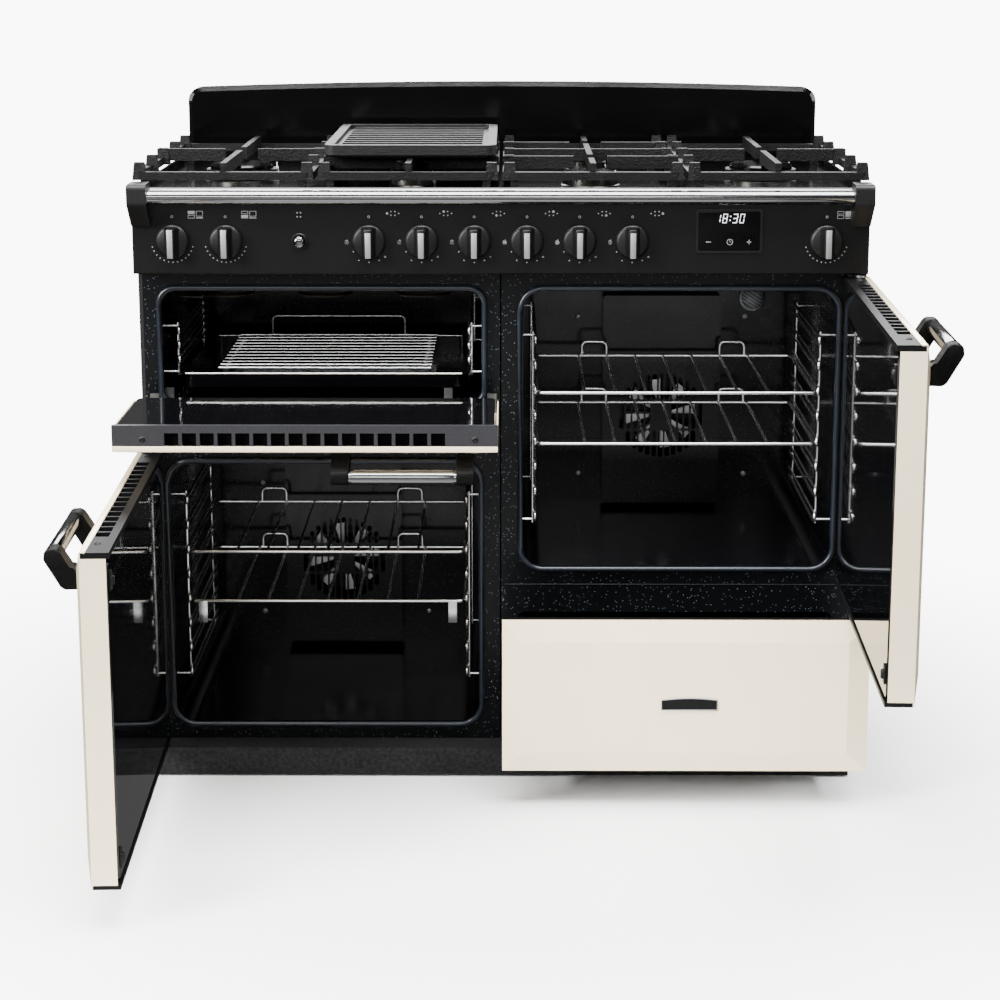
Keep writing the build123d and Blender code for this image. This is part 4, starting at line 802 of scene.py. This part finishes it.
# Screws in the back walls, and the lamp in the right oven
fixings = dict(y=383.4, head=5, lampX=424, lampZ=684,
               ring=((23, 0), (23, 3), (21.5, 4.5), (19, 5), (18, 4), (18, 0)),
               lens=((18, 0), (18, 4), (16.5, 7.5), (12.6, 10), (7.2, 11.6), (0, 12)))
wallScrews = ((132, 377), (416, 377), (132, 288), (412, 288), (130, 652), (413, 652),
              (-412, 129), (-126, 129), (-412, 360), (-128, 360))


def cavityFixings():
    screws, ring, lens = Shape(), Shape(), Shape()
    for x, z in wallScrews:
        screwHead(screws, (x, fixings["y"], z), toFront, fixings["head"])
    screws.done("cavity_screws", "galvanised", "galvanised")
    place = (fixings["lampX"], fixings["y"], fixings["lampZ"])
    ring.lathe(fixings["ring"], place, toFront, 40, hollow=True)
    ring.done("lamp_ring", "galvanised", "galvanised")
    lens.lathe(fixings["lens"], place, toFront, 36)
    lens.done("lamp_lens", "frosted", "door_glass")


cavityFixings()

# Fan wheels: a hub and vanes whose front edges are turned over
fan = dict(hub=16, radius=60, vanes=8, depth=18, plate=1.5, flapRoot=6, flapTip=18, shaft=4, bevel=0.3,
           flapBevel=0.4, nose=((0, 0), (0, 15), (-1.5, 17.2), (-4, 18)))  # change of radius, rise


def ovenFan(node):
    low, high = cadMm(node)
    hub, rim, plate = fan["hub"], fan["radius"], fan["plate"]
    x, z, back = (low.x + high.x) / 2, (low.z + high.z) / 2, low.y + fan["depth"]
    made = Shape()
    nose = [(hub + change, rise) for change, rise in fan["nose"]] + [(0, fan["depth"])]
    made.lathe(nose, (x, back, z), toFront, 32)
    made.lathe([(fan["shaft"], 0), (fan["shaft"], high.y - back)], (x, back, z), toBack, 16)
    upright = [(hub - 1, 0), (rim, 0), (rim, plate), (hub - 1, plate)]
    flap = [(hub + 2, 0), (rim, 0), (rim - 2, fan["flapTip"]), (hub + 4, fan["flapRoot"])]
    for n in range(fan["vanes"]):
        turn = 2 * math.pi * n / fan["vanes"]
        along, across = (math.cos(turn), 0, math.sin(turn)), (-math.sin(turn), 0, math.cos(turn))
        made.prism(upright, (x, back, z), along, across, fan["depth"], fan["bevel"])
        made.prism(flap, (x, low.y + plate, z), along, across, plate, fan["flapBevel"])
    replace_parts(made.done("wheel_" + node, "fan_plate", "galvanised", node), node)


for node in ("left_fan", "right_fan"):
    ovenFan(node)

# Zinc stops in the grill's mouth and a bright bead along the pan's front and back lips
grillStop = dict(places=(-505.5, -80), width=13, y=13, top=606, drop=29, lip=6, thick=1.4, bevel=0.4)
panBead = dict(inset=12, drop=1, front=1.6, back=1.2, rim=1.5)


def grillFittings():
    stops, bead = Shape(), Shape()
    lip, thick, drop, wide = grillStop["lip"], grillStop["thick"], grillStop["drop"], grillStop["width"]
    bend = [(0, 0), (lip, 0), (lip, -thick), (thick, -thick), (thick, -drop), (0, -drop)]
    for x in grillStop["places"]:
        stops.profiled(bend, (x - wide / 2, grillStop["y"], grillStop["top"]), wide, grillStop["bevel"])
    stops.done("grill_stops", "galvanised", "galvanised")
    low, high = cadMm("grill_pan")
    left, right, z = low.x + panBead["inset"], high.x - panBead["inset"], high.z - panBead["drop"]
    for y, radius in ((low.y, panBead["front"]), (high.y - panBead["rim"], panBead["back"])):
        bead.tube([(left, y, z), (right, y, z)], radius, 10)
    bead.done("pan_bead", "wire_chrome", "wire_chrome", "grill_pan")


grillFittings()

# Folded lip where the strip under the right oven meets the frame, drawn in the lighter front trim finish instead
# of black enamel: a painted highlight along the fold
frameLip = dict(left=6, right=532, low=298, high=299.4, proud=1.1, back=0.3, bevel=0.35)
lip = Shape()
lip.box((frameLip["left"], -frameLip["proud"], frameLip["low"]),
        (frameLip["right"], frameLip["back"], frameLip["high"]), frameLip["bevel"])
# the lighter front trim finish paints a highlight on this black enamel lip
lip.done("frame_lip", "front_trim", "black_enamel")

# On each door: the skin's rolled edge over the vent trim, a dark sheet under the vents as painted shade, and the
# trim's screws
rolledEdge = dict(front=-46, lap=8, proud=0.6, depth=2, bevel=0.5)
vent_shade = dict(half=212, front=-46, back=-17, drop=10, thick=3, bevel=0.6)
trimScrew = dict(y=-28, radius=4.4)


def doorTrim(door):
    left, right, top = doors[door]["left"], doors[door]["right"], doors[door]["top"]
    edge, sheet, screws = Shape(), Shape(), Shape()
    edge.box((left, rolledEdge["front"], top - rolledEdge["depth"]),
             (right, rolledEdge["front"] + rolledEdge["lap"], top + rolledEdge["proud"]), rolledEdge["bevel"])
    hang(edge, door, "_rolled_edge", "cream_enamel", "cream_enamel")
    middle, high = (left + right) / 2, top - vent_shade["drop"]
    sheet.box((middle - vent_shade["half"], vent_shade["front"], high - vent_shade["thick"]),
              (middle + vent_shade["half"], vent_shade["back"], high), vent_shade["bevel"])
    # the dark sheet is painted shade, standing for the shade seen through the vent slots
    hang(sheet, door, "_lining", "shade", "black_plastic")
    for x in doors[door]["screws"]:
        screwHead(screws, (x, trimScrew["y"], top), toTop, trimScrew["radius"])
    hang(screws, door, "_trim_screws", "black_plastic", "black_plastic")


for door in doors:
    doorTrim(door)

# Catch rollers and clips that hold each oven pane, near its free edge
catch = dict(x=17, back=-10, drop=40, width=11, height=26, proud=2.5, bevel=0.8, rollerY=-7.6,
             roller=((3.2, -6), (4, -5), (4, 5), (3.2, 6)))


def paneCatches(door, side):
    made, x, half, tall = Shape(), side * catch["x"], catch["width"] / 2, catch["height"] / 2
    for z in (doors[door]["top"] - catch["drop"], doors[door]["low"] + catch["drop"]):
        made.box((x - half, catch["back"], z - tall), (x + half, catch["back"] + catch["proud"], z + tall),
                 catch["bevel"])
        made.lathe(catch["roller"], (x, catch["rollerY"], z), toTop, 20)
    hang(made, door, "_catches", "black_plastic", "black_plastic")


paneCatches("left_door", -1)
paneCatches("right_door", 1)

# Bare plate on the drawer, with an arched head and a raised bright rim
plaque = dict(x=280, z=166, width=82, height=15.5, arch=2.8, steps=12, thick=1.8, sunk=0.2, rim=1.1,
              rimSunk=0.4)


def drawerPlaque():
    plate, rim = Shape(), Shape()
    x, y, z = plaque["x"], cadMm("drawer_front")[0].y, plaque["z"]
    half, high = plaque["width"] / 2, plaque["height"] / 2
    shares = [1 - 2 * n / plaque["steps"] for n in range(plaque["steps"] + 1)]
    outline = [(-half, -high), (half, -high)]
    outline += [(half * s, high + plaque["arch"] * (1 - s * s)) for s in shares]
    plate.facing(outline, (x, y + plaque["sunk"], z), plaque["thick"])
    plate.done("drawer_plate", "black_plastic", "black_plastic", "drawer")
    rimY = y - plaque["thick"] + plaque["rimSunk"]
    rim.tube([(x + a, rimY, z + b) for a, b in outline], plaque["rim"], 8, True)
    rim.done("drawer_plate_rim", "pointer", "galvanised", "drawer")


drawerPlaque()
print("seals, fixings, catches and plate done")

# The back: a zinc sheet with beads and louvres, dark strips as painted shade in the louvres' openings, a cover
# over the mains terminals, and the inlet's thread
backSheet = dict(inset=13, thick=1.2, corner=12, bevel=0.4, screw=4.5, screwInset=10, screwGap=118)
bead = dict(heights=(190, 480, 770), inset=45, bevel=0.8,
            section=((0, -11), (2.4, -8.25), (4, -4.4), (4, 4.4), (2.4, 8.25), (0, 11)))
louvre = dict(centres=(-270, 270), first=560, pitch=19, rows=8, width=190, bevel=0.9, slot=3, slotInset=3,
              slotThick=0.2, slotBevel=0.08, section=((0, 10), (3.3, 8), (5.4, 4.5), (6, 0), (0, 0)))


def spaced(half, gap):  # even places from -half to half, about a gap apart
    count = round(2 * half / gap)
    return [-half + n * 2 * half / count for n in range(count + 1)]


def backPanel():
    low, high = cadMm("casing")
    z, face = (low.z + high.z) / 2, high.y + backSheet["thick"]
    wide, tall = high.x - low.x - 2 * backSheet["inset"], high.z - low.z - 2 * backSheet["inset"]
    sheet, slot_shade, screws = Shape(), Shape(), Shape()
    outline = roundedRect(wide, tall, backSheet["corner"], 5)
    sheet.prism(outline, (0, high.y, z), toLeft, toTop, backSheet["thick"], backSheet["bevel"])
    for up in bead["heights"]:
        start = -wide / 2 + bead["inset"]
        sheet.profiled(bead["section"], (start, face, up), -2 * start, bead["bevel"])
    half, inset = louvre["width"] / 2, louvre["slotInset"]
    for x in louvre["centres"]:
        for n in range(louvre["rows"]):
            up = louvre["first"] + n * louvre["pitch"]
            sheet.profiled(louvre["section"], (x - half, face, up), louvre["width"], louvre["bevel"])
            # a near-black strip under each louvre is painted shade for its opening
            slot_shade.box((x - half + inset, face, up - louvre["slot"]),
                     (x + half - inset, face + louvre["slotThick"], up), louvre["slotBevel"])
    across, upright = wide / 2 - backSheet["screwInset"], tall / 2 - backSheet["screwInset"]
    places = [(x, side * upright) for x in spaced(across, backSheet["screwGap"]) for side in (-1, 1)]
    places += [(side * across, up) for up in spaced(upright, backSheet["screwGap"])[1:-1] for side in (-1, 1)]
    for x, up in places:
        screwHead(screws, (x, face, z + up), toBack, backSheet["screw"])
    sheet.done("back_sheet", "back_zinc", "galvanised")
    slot_shade.done("back_vent_shade", "shade", "black_plastic")
    screws.done("back_screws", "galvanised", "galvanised")


terminals = dict(x=-392, z=118, width=132, height=88, corner=8, proud=13, bevel=2.5, screwInset=12,
                 gland=((6.5, -2), (6.5, 3), (5.5, 4), (5.5, 12), (4.5, 13), (3.5, 13), (3.5, 4), (0, 4)))


def terminalCover():
    face = cadMm("casing")[1].y + backSheet["thick"]
    x, z, wide, proud = terminals["x"], terminals["z"], terminals["width"], terminals["proud"]
    made = Shape()
    outline = roundedRect(wide, terminals["height"], terminals["corner"], 5)
    made.prism(outline, (x, face, z), toLeft, toTop, proud, terminals["bevel"])
    for side in (-1, 1):
        screwHead(made, (x + side * (wide / 2 - terminals["screwInset"]), face + proud, z), toBack)
    made.lathe(terminals["gland"], (x, face + proud / 2, z - terminals["height"] / 2), toFloor, 28)
    made.done("terminal_cover", "black_plastic", "black_plastic")


thread = dict(start=5, pitch=1.8, turns=7, ridge=((10.6, 0), (11.2, 0.72), (11.2, 0.99)), end=1,
              nut=((15, 1.2), (16, 2.4), (16, 4.2), (14.6, 5)))  # (radius, distance) pairs


def inletThread():
    y, reach = cadMm("casing")[1].y, cadMm("gas_manifold")[1].y - thread["end"]
    corners = [v.co * 1000 for v in nodes["gas_manifold"].data.vertices]
    rim = [p for p in corners if p.y > reach]  # the stub's open end
    x, z = sum(p.x for p in rim) / len(rim), sum(p.z for p in rim) / len(rim)
    made, nut = Shape(), Shape()
    starts = [thread["start"] + n * thread["pitch"] for n in range(thread["turns"])]
    made.lathe([(radius, start + along) for start in starts for radius, along in thread["ridge"]],
               (x, y, z), toBack, 40)
    nut.lathe(thread["nut"], (x, y, z), toBack, 6)
    made.done("inlet_thread", "brass_pipe", "brass_pipe")
    nut.done("inlet_nut", "brass_pipe", "brass_pipe")


backPanel()
terminalCover()
inletThread()
print("back done")

stage = dict(floorReach=5.0, floorSides=64, fadeStart=0.6, fadeEnd=1.45, backdrop=9.5, fill=0.12)


def studioFloor():  # a pale disc that fades into the white backdrop
    reach, sides = stage["floorReach"], stage["floorSides"]
    f = Finish("paleFloor")
    away = f.node("VectorMath", {"operation": "LENGTH"}, {0: f.where()}, "Value")
    gone = f.ramp(away * (1 / reach), (stage["fadeStart"] / reach, 0), (stage["fadeEnd"] / reach, 1))
    colour = f.blend(f.noise(3, 4) * 0.3, grey(252), grey(247))
    finish = f.shine(baseColor=colour, roughness=0.6 + f.noise(40) * 0.1, alpha=1 - gone)
    mesh = bpy.data.meshes.new("floor")
    turns = [2 * math.pi * n / sides for n in range(sides)]
    mesh.from_pydata([(reach * math.cos(t), reach * math.sin(t), 0) for t in turns], [], [range(sides)])
    mesh.materials.append(finish)
    floor = addToScene("floor", mesh)
    floor.visible_glossy = False  # keeps the dark glass dark


studioFloor()

lights = {  # place, aimed at, width and height, watts
    "overhead": ((0, -0.8, 3.3), (0, -0.45, 0.4), (3.2, 2.2), 600),
    "frontLeft": ((-3.4, -2.4, 2.5), (0, -0.2, 0.4), (1.5, 2.2), 500),
    "frontRight": ((3.1, -3.0, 2.3), (0, 0, 0.5), (1.6, 2.4), 30),
    "front": ((-0.5, -4.2, 2.2), (0, 0, 0.5), (2.4, 1.0), 60),
    "floorCard": ((0, -0.95, 0.02), (0, -0.95, 1.0), (1.7, 0.9), 8),
    "right": ((3.6, 1.2, 2.0), (0.5, 0.2, 0.5), (1.6, 2.0), 80),
    "left": ((-3.6, 1.2, 2.0), (-0.5, 0.2, 0.5), (1.6, 2.0), 80),
    "behind": ((0, 2.6, 2.3), (0, 0.2, 0.95), (3.0, 0.9), 150),
    "frontLow": ((0, -2.6, 0.22), (0, -0.1, 0.8), (3.2, 0.4), 7),
}
for name, (place, target, size, power) in lights.items():
    lamp = bpy.data.lights.new(name, "AREA")
    lamp.shape, lamp.size, lamp.size_y, lamp.energy = "RECTANGLE", size[0], size[1], power
    rig = addToScene(name, lamp)
    rig.location = place
    rig.rotation_euler = (Vector(target) - Vector(place)).to_track_quat("-Z", "Y").to_euler()


def studioWorld():  # white to look at, dim as a light
    world = bpy.data.worlds.new("studio")
    world.use_nodes = True
    tree = world.node_tree
    tree.nodes.clear()
    path, mixer = tree.nodes.new("ShaderNodeLightPath"), tree.nodes.new("ShaderNodeMixShader")
    tree.links.new(path.outputs["Is Camera Ray"], mixer.inputs[0])
    for socket, strength in ((1, stage["fill"]), (2, stage["backdrop"])):
        sky = tree.nodes.new("ShaderNodeBackground")
        sky.inputs["Color"].default_value, sky.inputs["Strength"].default_value = (1, 1, 1, 1), strength
        tree.links.new(sky.outputs[0], mixer.inputs[socket])
    out = tree.nodes.new("ShaderNodeOutputWorld")
    tree.links.new(mixer.outputs[0], out.inputs["Surface"])
    bpy.context.scene.world = world


studioWorld()
print("stage and lights done")

view = dict(place=(0.0125, -3.0942, 1.2694), pitch=11.0, yaw=-0.25, sensor=36, focal=2.0809, shift=-0.15)
camera = bpy.data.cameras.new("camera")
camera.sensor_width, camera.lens = view["sensor"], view["focal"] * view["sensor"]
camera.shift_y = view["shift"]
rig = addToScene("camera", camera)
rig.location = view["place"]
rig.rotation_euler = (math.radians(90 - view["pitch"]), 0, math.radians(-view["yaw"]))
bpy.context.scene.camera = rig

print("scene ready")
